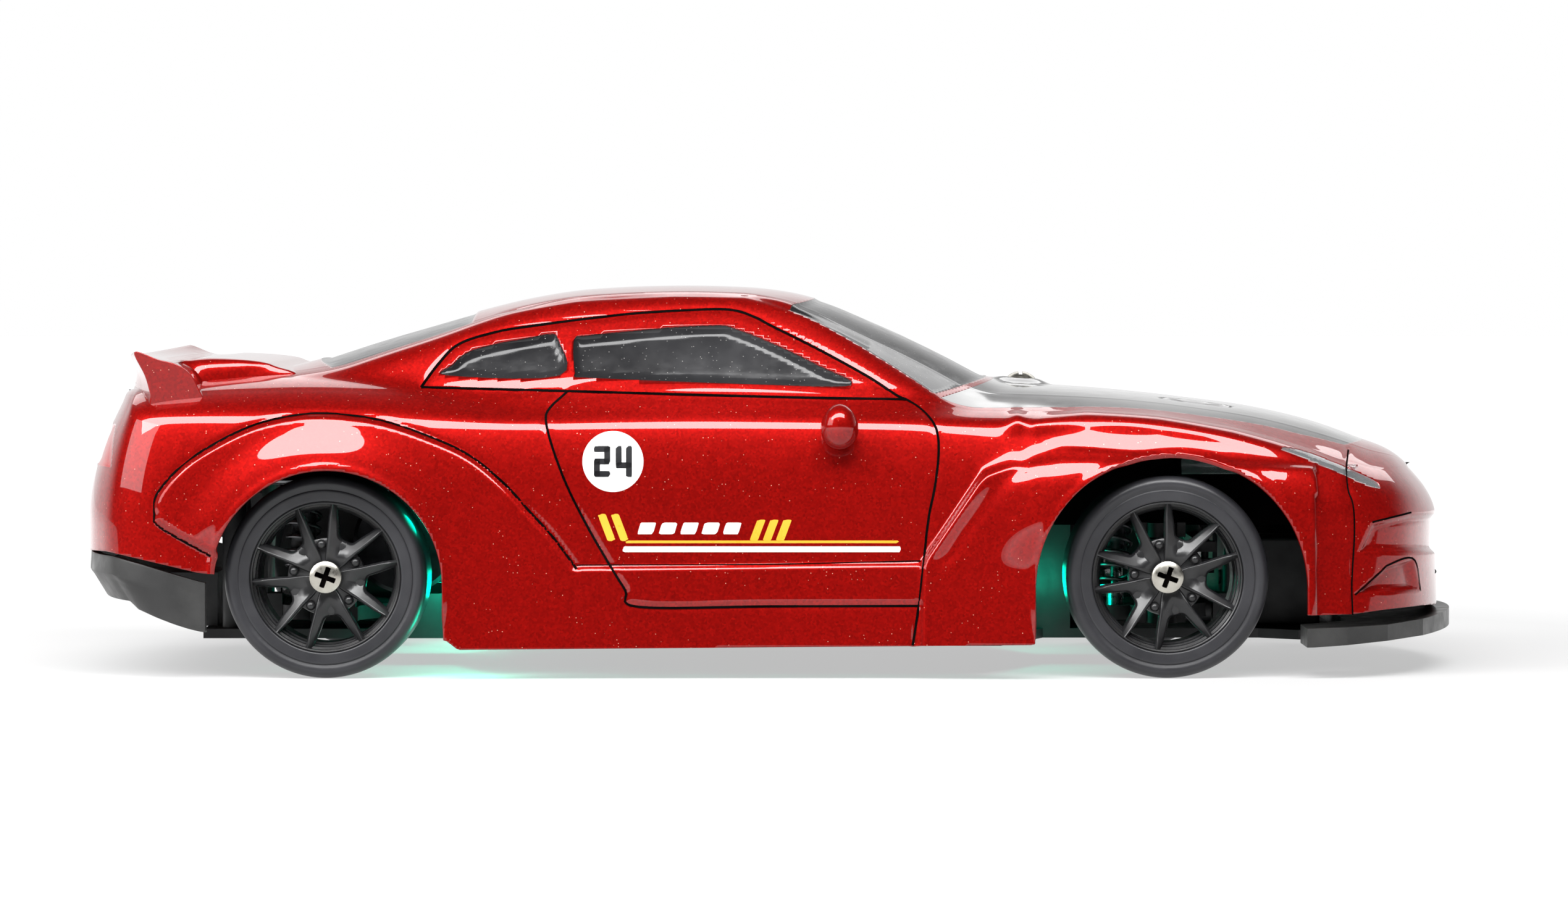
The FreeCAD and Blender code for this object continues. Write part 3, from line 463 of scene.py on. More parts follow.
def plastic(name, dark, light, rough=(0.4, 0.55), grain=1400, grain_depth=0.15, coat=0.0, shine=0.5):
    """Moulded plastic: slight colour drift, fine grain and scuffed gloss."""
    m = Nodes(name)
    m.set(Base_Color=m.ramp(m.noise(90, 5), [(0.35, dark), (0.7, light)]))
    m.set(Roughness=m.spread(m.noise(260, 4), *rough), Coat_Weight=coat, Coat_Roughness=0.08)
    m.set(Specular_IOR_Level=shine)
    m.bump((m.noise(grain, 2), grain_depth, 0.00008), (m.noise(35, 2), 0.05, 0.0004))
    return m.material


def paint_red():
    """Candy red over fine metal flakes, with sparse larger flakes painted pale as painted glints, under a
    clear coat.
    """
    m = Nodes("candy_red")
    shade = m.ramp(m.noise(14, 2), [(0.3, (0.215, 0.0012, 0.0006)), (0.7, (0.27, 0.0016, 0.0008))])
    grain_ends = [(0.0, (0.13, 0.0005, 0.0004)), (1.0, (0.44, 0.0045, 0.0024))]
    grain = m.ramp(m.cells(2200).outputs["Color"], grain_ends)
    base = m.mix(m.spread(m.noise(900, 2), 0.2, 0.6), shade, grain)
    # Sparse larger flakes coloured pale pink: real flakes, with their sparkle painted in as a painted
    # glint.
    glint_specks = m.cells(1000)
    near = m.spread(glint_specks.outputs["Distance"], 1.0, 0.0, 0.05, 0.13)
    rare = m.spread(glint_specks.outputs["Color"], 0.0, 1.0, 0.62, 0.68)
    flake_glint = m.add("ShaderNodeMath", operation="MULTIPLY")
    m.link(near, flake_glint.inputs[0])
    m.link(rare, flake_glint.inputs[1])
    m.set(Base_Color=m.mix(flake_glint.outputs[0], base, (0.85, 0.38, 0.28)))
    m.set(Metallic=0.5, Roughness=m.spread(m.noise(500, 2), 0.36, 0.44), Specular_IOR_Level=0.05)
    m.set(Coat_Weight=1.0, Coat_Roughness=0.02)
    m.bump((m.noise(1500, 2), 0.06, 0.00004), (m.noise(70, 2), 0.04, 0.0004))
    return m.material


def metal(name, dark, light, rough=(0.2, 0.35), scale=300):
    """Metal with a fine, slightly uneven finish."""
    m = Nodes(name)
    m.set(Base_Color=m.ramp(m.noise(scale, 4), [(0.3, dark), (0.7, light)]))
    m.set(Metallic=1.0, Roughness=m.spread(m.noise(scale * 2, 4), *rough))
    m.bump((m.noise(scale * 4, 2), 0.08, 0.00006))
    return m.material


def clear_plastic(name, tint, rough=0.06, alpha=0.55):
    """Clear moulded plastic with faint haze and flow lines."""
    m = Nodes(name)
    m.set(Base_Color=m.ramp(m.noise(160, 3), [(0.3, tint), (0.8, tuple(min(1, c * 1.15) for c in tint))]))
    m.set(Roughness=m.spread(m.noise(400, 3), rough, rough + 0.1), Transmission_Weight=alpha, IOR=1.45)
    m.bump((m.noise(700, 2), 0.08, 0.00008))
    return m.material


def window_plastic():
    """Charcoal window panels with a satin gloss and a dusting of overspray."""
    m = Nodes("window_charcoal")
    base = m.ramp(m.noise(60, 3), [(0.3, (0.012, 0.012, 0.013)), (0.7, (0.03, 0.03, 0.032))])
    dust = m.ramp(m.cells(1100).outputs["Distance"], [(0.06, (1, 1, 1)), (0.12, (0, 0, 0))])
    m.set(Base_Color=m.mix(dust, base, (0.35, 0.34, 0.33)))
    m.set(Roughness=m.spread(m.noise(300, 3), 0.10, 0.18), Specular_IOR_Level=0.35, Coat_Weight=0.0)
    m.bump((m.noise(900, 2), 0.10, 0.00007))
    return m.material


def glow(name, colour, strength):
    """A lit light module's lens."""
    m = Nodes(name)
    bright = tuple(min(1, c * 1.3 + 0.05) for c in colour)
    m.set(Base_Color=m.ramp(m.noise(300, 2), [(0.3, colour), (0.7, bright)]))
    m.set(Emission_Color=(*colour, 1), Emission_Strength=strength, Roughness=0.3)
    return m.material


def make_materials():
    """Every material by name."""
    made = {"red": paint_red(), "window": window_plastic()}
    made["underglow"] = glow("underglow", (0.0, 0.75, 0.48), 2.0)
    for make, table in ((plastic, PLASTICS), (metal, METALS), (clear_plastic, CLEAR)):
        made.update({key: make(*row) for key, row in table.items()})
    return made


# ---- body shell


def shell_height(x, y):
    """Height of the deck, bonnet and cabin above a point of the plan."""
    ay = np.abs(y)
    deck = along(x, DECK)
    lean = WINDSCREEN_BOW * ay**2 * step(x, -15, 25) - REAR_SCREEN_BOW * ay**2 * step(-x, 35, 75)
    roof = along(x + lean, ROOF) - 1.6 * (ay / 36) ** 2
    reach = along(x, BELT) - ay
    flank = 58.2 + 1.62 * reach - 0.012 * reach**2
    cabin = smooth_min(roof, flank, 3.0)
    return deck, cabin


def shell_grid():
    """Half of the shell (|y| side) as a grid whose rows run from the sill up to the centre line."""
    knots = rounded(OUTLINE, steps=24)
    length = np.concatenate([[0], np.cumsum(np.hypot(*np.diff(knots[:, :2], axis=0).T))])
    s = np.linspace(0, length[-1], 560)
    x, y, shoulder, inset = [np.interp(s, length, knots[:, k]) for k in range(4)]
    tangent = np.stack([np.gradient(x), np.gradient(y)], 1)
    tangent /= np.linalg.norm(tangent, axis=1)[:, None]
    normal = np.stack([-tangent[:, 1], tangent[:, 0]], 1)
    rows = []
    foot = 5.5
    nose = step(x, 112, 140)
    tail = step(-x, 128, 143)
    for v in np.linspace(0, 1, FLANK_ROWS):
        z = foot + (shoulder - foot) * v
        above = np.clip((z - 31) / (shoulder - 31), 0, 1)
        lean = 0.055 * (1 - nose) * (1 - tail)
        bend = above ** (2.7 - 0.8 * np.maximum(nose, tail))
        tuck = lean * (z - 31) + (inset - lean * (shoulder - 31)) * bend
        rows.append(np.stack([x - normal[:, 0] * tuck, y - normal[:, 1] * tuck, z], 1))
    edge = rows[-1]
    centre_x = edge[:, 0]
    runs = ((0, 0.12, 9), (0.12, 0.42, 36), (0.42, 1, 26))
    spread = np.concatenate([np.linspace(*run)[1:] for run in runs])
    for t in spread:
        px = edge[:, 0] * (1 - t) + centre_x * t
        py = edge[:, 1] * (1 - t)
        deck, cabin = shell_height(px, py)
        fullness = 2.3 + 3.7 * step(-px, 50, 78)
        crown = shoulder + (deck - shoulder) * (1 - (1 - t) ** fullness)
        rows.append(np.stack([px, py, smooth_max(crown, cabin, 2.6)], 1))
    grid = np.array(rows)
    for _ in range(14):
        near = slice(84, 99)
        grid[near] = 0.5 * grid[near] + 0.25 * (grid[83:98] + grid[85:100])
    for _ in range(5):
        z = grid[:, :, 2]
        near = z[99:-2, 1:-1] * 4 + z[98:-3, 1:-1] + z[100:-1, 1:-1] + z[99:-2, :-2] + z[99:-2, 2:]
        grid[99:-2, 1:-1, 2] = near / 8
        grid[93:, 0] = grid[93:, 2] * (1, 0, 1)
        grid[93:, -1] = grid[93:, -3] * (1, 0, 1)
    grid[-1, :, 1] = 0
    return grid


def grid_normals(grid):
    """Outward unit normals of the shell grid."""
    normal = np.cross(np.gradient(grid, axis=0), np.gradient(grid, axis=1))
    normal /= np.linalg.norm(normal, axis=2)[:, :, None] + 1e-9
    middle = normal[-1]
    middle[:, 1] = 0
    return normal


def groove(x, z, points, depth=0.2, width=0.6):
    """A V-shaped panel line."""
    return -depth * np.exp(-((line_distance(x, z, points) / width) ** 2))


def relief(p):
    """How far each point of the shell stands out from its plain surface."""
    x, z = drawing(p)
    flank = step(62.5 - z, 0, 3)
    out = np.zeros(len(p))
    flare = rounded(REAR_FLARE)
    closed = np.vstack([flare, [(-40, 0), (-118, 0), (-116, 21)]])
    in_flare = inside(x, z, closed)
    out += 0.9 * step(in_flare, -0.2, 1.4)
    out += groove(x, z, flare)
    front = inside(x, z, np.array(FRONT_FLARE, float))
    fade = 1 - step(z, 40, 50)
    blend = 1 - fade
    out += 2.2 * step(front, -0.8 - 3 * blend, 0.9 + 6 * blend) * (0.25 + 0.75 * fade) * (x < 112)
    hollow = line_distance(x, z, [(35.5, 24), (40, 31), (47.5, 40.5), (52, 43.5)])
    out -= 0.5 * np.exp(-((hollow / 2.0) ** 2)) * step(z, 20, 26)
    for line in (DOOR, DOOR_FRONT, CABIN_SEAM, BELT_SEAM, BUMPER_SEAM):
        out += groove(x, z, rounded(line))
    out += 0.9 * step(23.9 + 0.012 * x - z, -0.2, 1.1) * step(x, -41, -39.6) * step(33 - x, 0, 2)
    swells = (REAR_ARCH, 9.5, step(-x, 74, 92), in_flare), (FRONT_ARCH, 12.0, step(78 - x, 0, 26), front)
    for (cx, cz, radius), reach, share, field in swells:
        ring = np.hypot(x - cx, z - cz) - radius
        out += 0.3 * np.exp(-((np.clip(ring, 0, None) / 1.0) ** 2)) * (z > 8)
        swell = 1.3 * (1 - step(ring, 0.5, reach)) * step(z, 22, 35) * (0.2 + 0.8 * share)
        out += swell * step(field, -0.3, 0.8)
    crease = line_distance(x, z, [(55, 52.5), (65, 54), (80, 53), (95, 50.3), (110, 46), (118, 42.5)])
    out += 0.7 * np.exp(-((crease / 1.5) ** 2))
    rail = [(-56, 76), (-40, 78.6), (-20, 79.7), (-5, 79.5), (0, 78), (10, 74.4), (20, 69.4)]
    out += groove(x, z, rail, 0.3, 0.6)
    bump = np.hypot((p[:, 0] - 51) / 2.3, (z - 53.2) / 1.9)
    out += 1.1 * np.exp(-(bump**2) * 1.2)
    duct = inside(x, z, np.array(NOSE_DUCT, float))
    out -= 1.5 * step(duct, 0, 1.2)
    recess = inside(x, z, np.array([(121, 26), (124, 32.5), (132, 34.5), (150, 35.5), (150, 26)], float))
    out -= 1.2 * step(recess, 0, 1.5)
    return out * (flank + (1 - flank) * step(np.abs(p[:, 1]), 30, 34))


def shell_half():
    """The right half of the shell as points (place and normal) and triangles."""
    grid = shell_grid()
    normal = grid_normals(grid)
    rows, columns = grid.shape[:2]
    flat = grid.reshape(-1, 3)
    flat = flat + normal.reshape(-1, 3) * relief(flat)[:, None]
    grid = flat.reshape(rows, columns, 3)
    above = (np.arange(rows) > FLANK_ROWS)[:, None]
    slot = np.hypot((grid[:, :, 0] - 90.5) / 8.0, (np.abs(grid[:, :, 1]) - 20) / 3.4)
    grid[:, :, 2] -= 1.1 * step(1.05 - slot, 0, 0.35) * above
    hump = np.hypot((grid[:, :, 0] - 54) / 7.5, grid[:, :, 1] / 7.5)
    grid[:, :, 2] += 1.2 * step(1 - hump, 0, 0.6) * above
    normal = grid_normals(grid)
    points = np.hstack([grid.reshape(-1, 3), normal.reshape(-1, 3)])
    points[:, 1] *= -1
    points[:, 4] *= -1
    return points, grid_tris(rows, columns)


def sill_field(p):
    """Positive where the shell exists, above its sill line and outside the wheel arches."""
    x, z = drawing(p)
    rear, front = (np.hypot(x - cx, z - cz) - radius for cx, cz, radius in (REAR_ARCH, FRONT_ARCH))
    mouth = [(-115.7, 19.2), (-67.7, 19.2), (-67.5, 8), (-66, 0), (-118, 0), (-116.5, 21)]
    rear_mouth = -inside(x, z, np.array(mouth, float))
    front_mouth = -inside(x, z, np.array([(54.6, 18.3), (111, 18.3), (111.3, 0), (54.5, 0)], float))
    sill = z - np.interp(x, [-67, -64.5, 54.5, 56], [8, 6.1, 7.1, 7.1])
    tail = z - np.interp(x, [-150, -137, -118, -116], [27.5, 26.5, 22, 21.8])
    nose = z - np.interp(x, [111, 120, 127, 134, 150], [13.2, 13.5, 14.5, 15.3, 16.5])
    edge = np.where(x < -100, tail, np.where(x > 105, nose, sill))
    return np.minimum.reduce([rear, front, rear_mouth, front_mouth, edge])


def bonnet_field(p):
    """Positive on the black bonnet."""
    ay = np.abs(p[:, 1])
    side = np.interp(p[:, 0], [36, 60, 90, 110, 122, 128], [46.5, 46, 43, 38.5, 33, 20]) - ay
    front = 127.6 - 0.006 * ay**2 - p[:, 0]
    back = p[:, 0] - (48.0 - WINDSCREEN_BOW * ay**2)
    return np.minimum.reduce([side, front, back, p[:, 2] - 40])


def screen_fields(p):
    """Positive on the windscreen, and positive on the rear screen."""
    x, ay = p[:, 0], np.abs(p[:, 1])
    lean, rear_lean = WINDSCREEN_BOW * ay**2, REAR_SCREEN_BOW * ay**2
    edge = along(x, BELT) - (along(x + lean, ROOF) - 60.2) / 1.5
    front = np.minimum.reduce([edge - 1.2 - ay, x - (9.5 - 0.004 * ay**2), 46.5 - lean - x, p[:, 2] - 57])
    edge = along(x, BELT) - (along(x - rear_lean, ROOF) - 58) / 1.5
    rear = np.minimum.reduce([edge - 3.5 - ay, x + 97 - rear_lean, -63 - x, p[:, 2] - 57])
    return front, rear


def tail_lamp_field(p):
    """Positive on the right tail lamp."""
    x, y, z = p[:, 0], p[:, 1], p[:, 2]
    return np.minimum.reduce([-x - 137, -y - 16, 54 + y, z - 43.5, 52 - z])


def grille_field(p):
    """Positive on the right half of the nose grille."""
    x, y, z = p[:, 0], p[:, 1], p[:, 2]
    return np.minimum.reduce([x - 136, 26 + y, z - 20, 28.5 - z])


def pane(name, skin, depth, material, field, body_pieces):
    """A recessed panel in the skin; returns the skin with the opening cut out."""
    points, tris = skin
    value = field(points)
    inner = clip(points, tris, value)
    outer = clip(points, tris, -value)
    glass = inner[0].copy()
    edge = np.clip(field(glass) / 1.1, 0, 1)
    glass[:, :3] -= glass[:, 3:6] * (depth * (0.25 + 0.75 * edge))[:, None]
    body_pieces.append((name, with_lip(glass, inner[1], -0.25 * depth), material))
    return outer


def drawn(outline, smooth=True):
    """A field on the shell from a closed outline on the drawing."""
    ring = rounded(outline, closed=True, steps=5) if smooth else np.array(outline, float)

    def field(p):
        x, z = drawing(p)
        return np.minimum(inside(x, z, ring), np.abs(p[:, 1]) - 25)

    return field


def build_shell(paints):
    """The shell's red skin, bonnet, windows and lamps on both sides."""
    skin = shell_half()
    full = (skin[0].copy(), skin[1])
    skin = clip(*skin, sill_field(skin[0]))
    pieces = []
    skin = pane("quarter_window", skin, 1.1, paints["window"], drawn(QUARTER_WINDOW), pieces)
    skin = pane("side_window", skin, 1.2, paints["window"], drawn(MAIN_WINDOW), pieces)
    skin = pane("windscreen", skin, 0.35, paints["window"], lambda p: screen_fields(p)[0], pieces)
    skin = pane("rear_screen", skin, 0.5, paints["window"], lambda p: screen_fields(p)[1], pieces)
    skin = pane("headlight_lens", skin, 0.3, paints["clear"], drawn(HEADLIGHT), pieces)
    skin = pane("tail_lamp_lens", skin, 0.4, paints["lamp_red"], tail_lamp_field, pieces)
    skin = pane("grille_mesh", skin, 1.0, paints["trim"], grille_field, pieces)
    value = bonnet_field(skin[0])
    pieces.append(("bonnet", clip(*skin, value), paints["bonnet"]))
    skin = clip(*skin, -value)
    pieces.append(("shell_skin", with_lip(*skin, 1.2), paints["red"]))
    stands = {
        "shell_skin": "body_shell", "side_window": "window_panes", "grille_mesh": "nose_grille",
        "bonnet": "bonnet", "headlight_lens": "headlight", "tail_lamp_lens": "tail_light",
    }
    for name, (points, tris), material in pieces:
        if np.abs(points[:, 1]).min() < 1e-6:
            points, tris = welded(points, tris)
            obj = mesh_object(name, points, tris, material)
            if name in stands:
                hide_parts(stands[name])
            continue
        for side in ("right", "left"):
            data = (points, tris) if side == "right" else mirrored(points, tris)
            obj = mesh_object(f"{name}_{side}", data[0], data[1], material)
            if name in ("headlight_lens", "tail_lamp_lens"):
                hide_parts(f"{stands[name]}_{side}")
            elif name in stands and side == "right":
                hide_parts(stands[name])
    return full


def build_liner(skin, paints):
    """The shell's unpainted inner face, coloured near black: painted shade for the inside of the shell seen
    through the arches and from below.
    """
    points, tris = skin
    kept = clip(points, tris, sill_field(points) - 0.4)
    inner = kept[0].copy()
    inner[:, :3] -= 1.25 * inner[:, 3:6]
    for side in ("right", "left"):
        data = (inner, kept[1]) if side == "right" else mirrored(inner, kept[1])
        # Near-black colour here is painted shade inside the shell.
        obj = mesh_object(f"shell_inside_{side}", data[0], data[1][:, ::-1], paints["seam_and_shade"])
        reduce = obj.modifiers.new("lighter", "DECIMATE")
        reduce.ratio = 0.2


# ---- lines and marks on the shell


def onto_shell(tree, points):
    """Places and normals on the right flank for points of the drawing."""
    eye = Vector((EYE[0], -EYE[1], EYE[2]))
    found = []
    for x, z in points:
        height = EYE[2] - (TILT_DROP - DRAWING_SCALE * z) * (EYE[1] - DRAWING_Y) / DRAWING_REACH
        aim = Vector((x, -DRAWING_Y, height)) - eye
        place, normal, _, _ = tree.ray_cast(eye, aim.normalized())
        if place is not None:
            found.append((np.array(place), np.array(normal if normal.y < 0 else -normal)))
    return found


def even(points, gap):
    """Points at an even spacing along a line."""
    p = np.asarray(points, float)
    length = np.concatenate([[0], np.cumsum(np.hypot(*np.diff(p, axis=0).T))])
    at = np.linspace(0, length[-1], max(2, int(length[-1] / gap) + 1))
    return np.stack([np.interp(at, length, p[:, 0]), np.interp(at, length, p[:, 1])], 1)


def seam_line(name, tree, line, width, paint, lift=0.10):
    """A thin dark line along a panel gap, on both sides of the car."""
    found = onto_shell(tree, even(rounded(line), 0.8))
    places = np.array([f[0] for f in found])
    normals = np.array([f[1] for f in found])
    run = np.gradient(places, axis=0)
    across = np.cross(normals, run)
    across /= np.linalg.norm(across, axis=1)[:, None]
    rows = [places + normals * lift + across * width * k for k in (-0.5, 0, 0.5)]
    points = np.array(rows).reshape(-1, 3)
    for side in (1, -1):
        end = "right" if side == 1 else "left"
        obj = mesh_object(f"{name}_{end}", points * (1, side, 1), grid_quads(3, len(found)), paint)


def build_seams(tree, paints):
    """Every panel gap that shows as a black line."""
    lines = {
        "rear_flare_gap": (REAR_FLARE, 0.55), "door_gap": (DOOR, 0.5), "door_front_gap": (DOOR_FRONT, 0.5),
        "cabin_gap": (CABIN_SEAM, 0.6), "belt_gap": (BELT_SEAM, 0.6), "bumper_gap": (BUMPER_SEAM, 0.35),
        "sill_gap": (SILL_CREASE, 0.25), "duct_gap": (NOSE_DUCT, 0.4), "recess_gap": (NOSE_RECESS, 0.4),
    }
    for name, (line, width) in lines.items():
        seam_line(name, tree, line, width, paints["seam_and_shade"])


def slanted(x, z, width, height, lean=0.45):
    """A parallelogram from its lower left corner."""
    top = x + lean * height
    return np.array([(x, z), (x + width, z), (top + width, z + height), (top, z + height)])


def digit_outlines(centre, flip):
    """Plain block digits for the race number, as outlines on the drawing."""
    cx, cz = centre
    strokes = {
        0: [(0, 4.6, 3, 1.1), (1.9, 2.4, 1.1, 3.2), (0, 2.3, 3, 1.1), (0, 0, 1.1, 3.3), (0, 0, 3, 1.1)],
        1: [(0, 2.0, 1.1, 3.7), (0, 1.6, 3, 1.1), (1.9, 0, 1.1, 5.7)],
    }
    outlines = []
    for place, boxes in strokes.items():
        for x, z, w, h in boxes:
            ring = np.array([(x, z), (x + w, z), (x + w, z + h), (x, z + h)], float)
            ring[:, 0] += place * 4.0 - 3.5
            ring[:, 1] -= 2.85
            if flip:
                ring[:, 0] *= -1
            outlines.append(ring * 1.12 + (cx, cz))
    return outlines


def mark(name, skin, outlines, paint, lift):
    """Ink on both flanks; outlines is a list per side."""
    points, tris = skin
    x, z = drawing(points)
    for side, rings in zip(("right", "left"), outlines):
        near = (np.abs(x - np.mean([r[:, 0].mean() for r in rings])) < 60) & (z < 56) & (z > 20)
        close = tris[near[tris].all(1)]
        merged, faces, base = [], [], 0
        for ring in rings:
            shape, part = clip(points, close, inside(x, z, ring))
            shape[:, :3] += lift * shape[:, 3:6]
            merged.append(shape)
            faces.append(part + base)
            base += len(shape)
        data = (np.vstack(merged), np.vstack(faces))
        if side == "left":
            data = mirrored(*data)
        obj = mesh_object(f"{name}_{side}", data[0], data[1], paint)


def build_marks(skin, paints):
    """The race number, the bars and the two long stripes."""
    centre = (-32.5, 45.0)
    turn = np.linspace(0, 2 * math.pi, 72, endpoint=False)
    disc = np.stack([centre[0] + 6.3 * np.cos(turn), centre[1] + 6.3 * np.sin(turn)], 1)
    mark("number_disc", skin, [[disc], [disc]], paints["white_ink"], 0.05)
    digits = [digit_outlines(centre, flip) for flip in (False, True)]
    mark("number", skin, digits, paints["black_ink"], 0.09)
    bars = [slanted(-33.6 + 2.7 * k, 28.6, 1.7, 5.6, -0.38) for k in range(2)]
    more_bars = [slanted(-4.4 + 2.7 * k, 28.6, 1.7, 4.4, 0.38) for k in range(3)]
    stripe = [slanted(-30, 28.1, 56.5, 0.6, 0)]
    mark("yellow_marks", skin, [bars + more_bars + stripe] * 2, paints["yellow_ink"], 0.06)
    dashes = [slanted(-27.5 + 4.4 * k, 30.0, 3.2, 2.4, 0.3) for k in range(5)]
    line = [slanted(-30.5, 26.3, 57.3, 1.2, 0)]
    mark("white_marks", skin, [dashes + line] * 2, paints["white_ink"], 0.06)


# ---- trim


def build_wing(paint):
    """The ducktail: a bowed blade whose middle runs forward as a raised plate."""
    end = rounded(WING_END, closed=True, steps=5)
    middle = rounded(WING_MIDDLE, closed=True, steps=5)
    front = np.repeat([0, 0, 0, 0, 0.35, 1, 1, 1, 1], 5)
    wall = np.linspace(37.5, 43.5, 14)
    stations = np.unique(np.concatenate([np.linspace(-52, 52, 43), wall, -wall]))
    rows = []
    for y in stations:
        bow = 1 - (y / 52) ** 2
        raised = 1 - step(abs(y), 38.5, 42.5)
        share = ((1 - front) * bow + front * raised)[:, None]
        x, z = (end * (1 - share) + middle * share).T
        rows.append(np.stack([x, np.full(len(x), y), z], 1))
    points = np.array(rows)
    n, m = points.shape[:2]
    faces = []
    for r in range(0, (n - 1) * m, m):
        faces += [(r + c, r + (c + 1) % m, r + m + (c + 1) % m, r + m + c) for c in range(m)]
    faces += [tuple(range(m))[::-1], tuple((n - 1) * m + c for c in range(m))]
    obj = mesh_object("ducktail", points, [f[::-1] for f in faces], paint, flat_angle=60)
    bevel(obj, 0.5, 3)
    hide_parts("rear_wing")


def build_valance(paint):
    """The black strip under the tail: it folds in towards the bottom of its middle."""
    knots = rounded(OUTLINE, steps=12)
    half = knots[knots[:, 0] < -115.9][:, :2]
    line = np.vstack([half[::-1], (half * (1, -1))[1:]])
    x, y = line.T
    top = np.interp(x, [-146, -137, -130, -117], [25.4, 25.2, 23.6, 20])
    low = np.interp(x, [-146, -136.5, -134, -125, -120, -117], [16.2, 15.8, 14.2, 12, 10.5, 9.8])
    rows = []
    for v in np.linspace(0, 1, 21):
        fold = np.interp(v, [0, 0.5, 0.58, 1], [3.6, 0.9, 0.3, 0.5]) * step(-x, 122, 138)
        rows.append(np.stack([x + fold, y * (1 - fold / 90), low + (top - low) * v], 1))
    points = np.array(rows)
    obj = mesh_object("valance", points, grid_quads(*points.shape[:2]), paint, flat_angle=30)
    wall = obj.modifiers.new("wall", "SOLIDIFY")
    wall.thickness, wall.offset = 0.0018, -1
    bevel(obj, 0.3, 2)
    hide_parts("rear_valance")


def build_inner_parts(paints):
    """Ribs under the skin, coloured near black as painted shade, and the clear bars behind the headlights,
    seen through the wheel arches.
    """
    ribs = {"rear": (-118, -66, 30, 40, 58), "front": (60, 112, 27, 30.5, 70)}
    for end, (x0, x1, inner, foot, cap) in ribs.items():
        xs = np.linspace(x0, x1, 27)
        tops = np.minimum(shell_height(xs, inner + 0 * xs)[0] - 3.2, cap)
        for side, name in SIDES:
            rows = []
            for y, low, high in ((0, 0, 0), (0.1, -0.1, 0.1), (1.3, -0.1, 0.1), (1.4, 0, 0)):
                y += inner
                rows.append(np.stack([xs, side * y + 0 * xs, foot - low + 0 * xs], 1))
                rows.append(np.stack([xs, side * y + 0 * xs, tops + high], 1))
            points = np.array(rows)
            near_face = grid_quads(2, len(xs))
            quads = near_face + [tuple(i + 6 * len(xs) for i in q) for q in near_face]
            # The ribs take the near-black colour: painted shade inside the wheel arches.
            obj = mesh_object(f"rib_{end}_{name}", points, quads, paints["seam_and_shade"], smooth=False)
    path = rounded([(86.6, 33), (97, 33), (101, 36), (111, 45), (122, 48.5)], steps=5)
    for side, name in SIDES:
        run = np.gradient(path, axis=0)
        run /= np.linalg.norm(run, axis=1)[:, None]
        across = np.stack([-run[:, 1], run[:, 0]], 1)
        rows = []
        for turn in np.linspace(0, 2 * math.pi, 13):
            wide = 1.1 * np.sign(math.cos(turn)) * abs(math.cos(turn)) ** 0.5
            tall = np.interp(path[:, 0], [86, 99, 102], [1.8, 1.8, 0.8])
            xy = path + across * wide
            z = 43.2 + tall * np.sign(math.sin(turn)) * abs(math.sin(turn)) ** 0.5
            rows.append(np.stack([xy[:, 0], side * xy[:, 1], z], 1))
        points = np.array(rows)
        quads = grid_quads(*points.shape[:2])
        obj = mesh_object(f"light_guide_{name}", points, quads, paints["clear"])


def build_mirrors(paint):
    """A wing mirror on each door, shaped as an egg."""
    for side, name in SIDES:
        points, faces = [], []
        rings, around = 22, 40
        for i in range(rings + 1):
            a = math.pi * i / rings
            for j in range(around):
                b = 2 * math.pi * j / around
                x = 14.2 + 3.9 * math.sin(a) * math.cos(b) * (1 - 0.10 * math.cos(a))
                y = 60.2 + 3.9 * math.sin(a) * math.sin(b)
                z = 52.2 + 4.7 * math.cos(a)
                points.append((x, side * y, z))
        for i in range(rings):
            for j in range(around):
                k = (j + 1) % around
                quad = (i * around + j, (i + 1) * around + j, (i + 1) * around + k, i * around + k)
                faces.append(quad if side > 0 else quad[::-1])
        obj = mesh_object(f"mirror_{name}", points, faces, paint)
        if side < 0:
            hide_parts("wing_mirrors")


# ---- wheels


def build_tyre(node, body, centre, side, paint):
    """A smooth drift tyre with fine steps on its sidewall."""
    half = [(16.85, 0.0), (16.85, 8.3), (15.75, 8.7), (15.8, 9.2), (16.6, 9.3), (17.9, 9.4), (18.05, 9.2)]
    half += [(18.5, 9.35), (18.9, 9.5), (19.4, 9.55), (19.9, 9.4), (20.4, 9.0), (20.75, 8.4), (20.93, 7.5)]
    half += [(21.0, 6.0), (21.0, 3.0)]
    outer = rounded(half, steps=3)
    profile = [(r, 49 + w) for r, w in outer] + [(r, 49 - w) for r, w in outer[::-1]]
    obj = mesh_object(f"{node}_skin", *lathe(profile, centre, side, 160), paint, body)
    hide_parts(node)


def spoke_field(along_pair, across):
    """Positive on a pair of spokes: two legs that part from one root, with a web between them."""
    leg = 0.7 + (along_pair - 4) * 0.47
    half = np.interp(along_pair, [4, 7, 11, 15], [1.5, 1.2, 1.0, 0.55])
    legs = half - 0.9 * np.abs(across - leg)
    web = np.minimum(8.3 - along_pair + 0.06 * across**2, leg - across)
    return smooth_max(legs, web, 0.6), (across - leg) / half


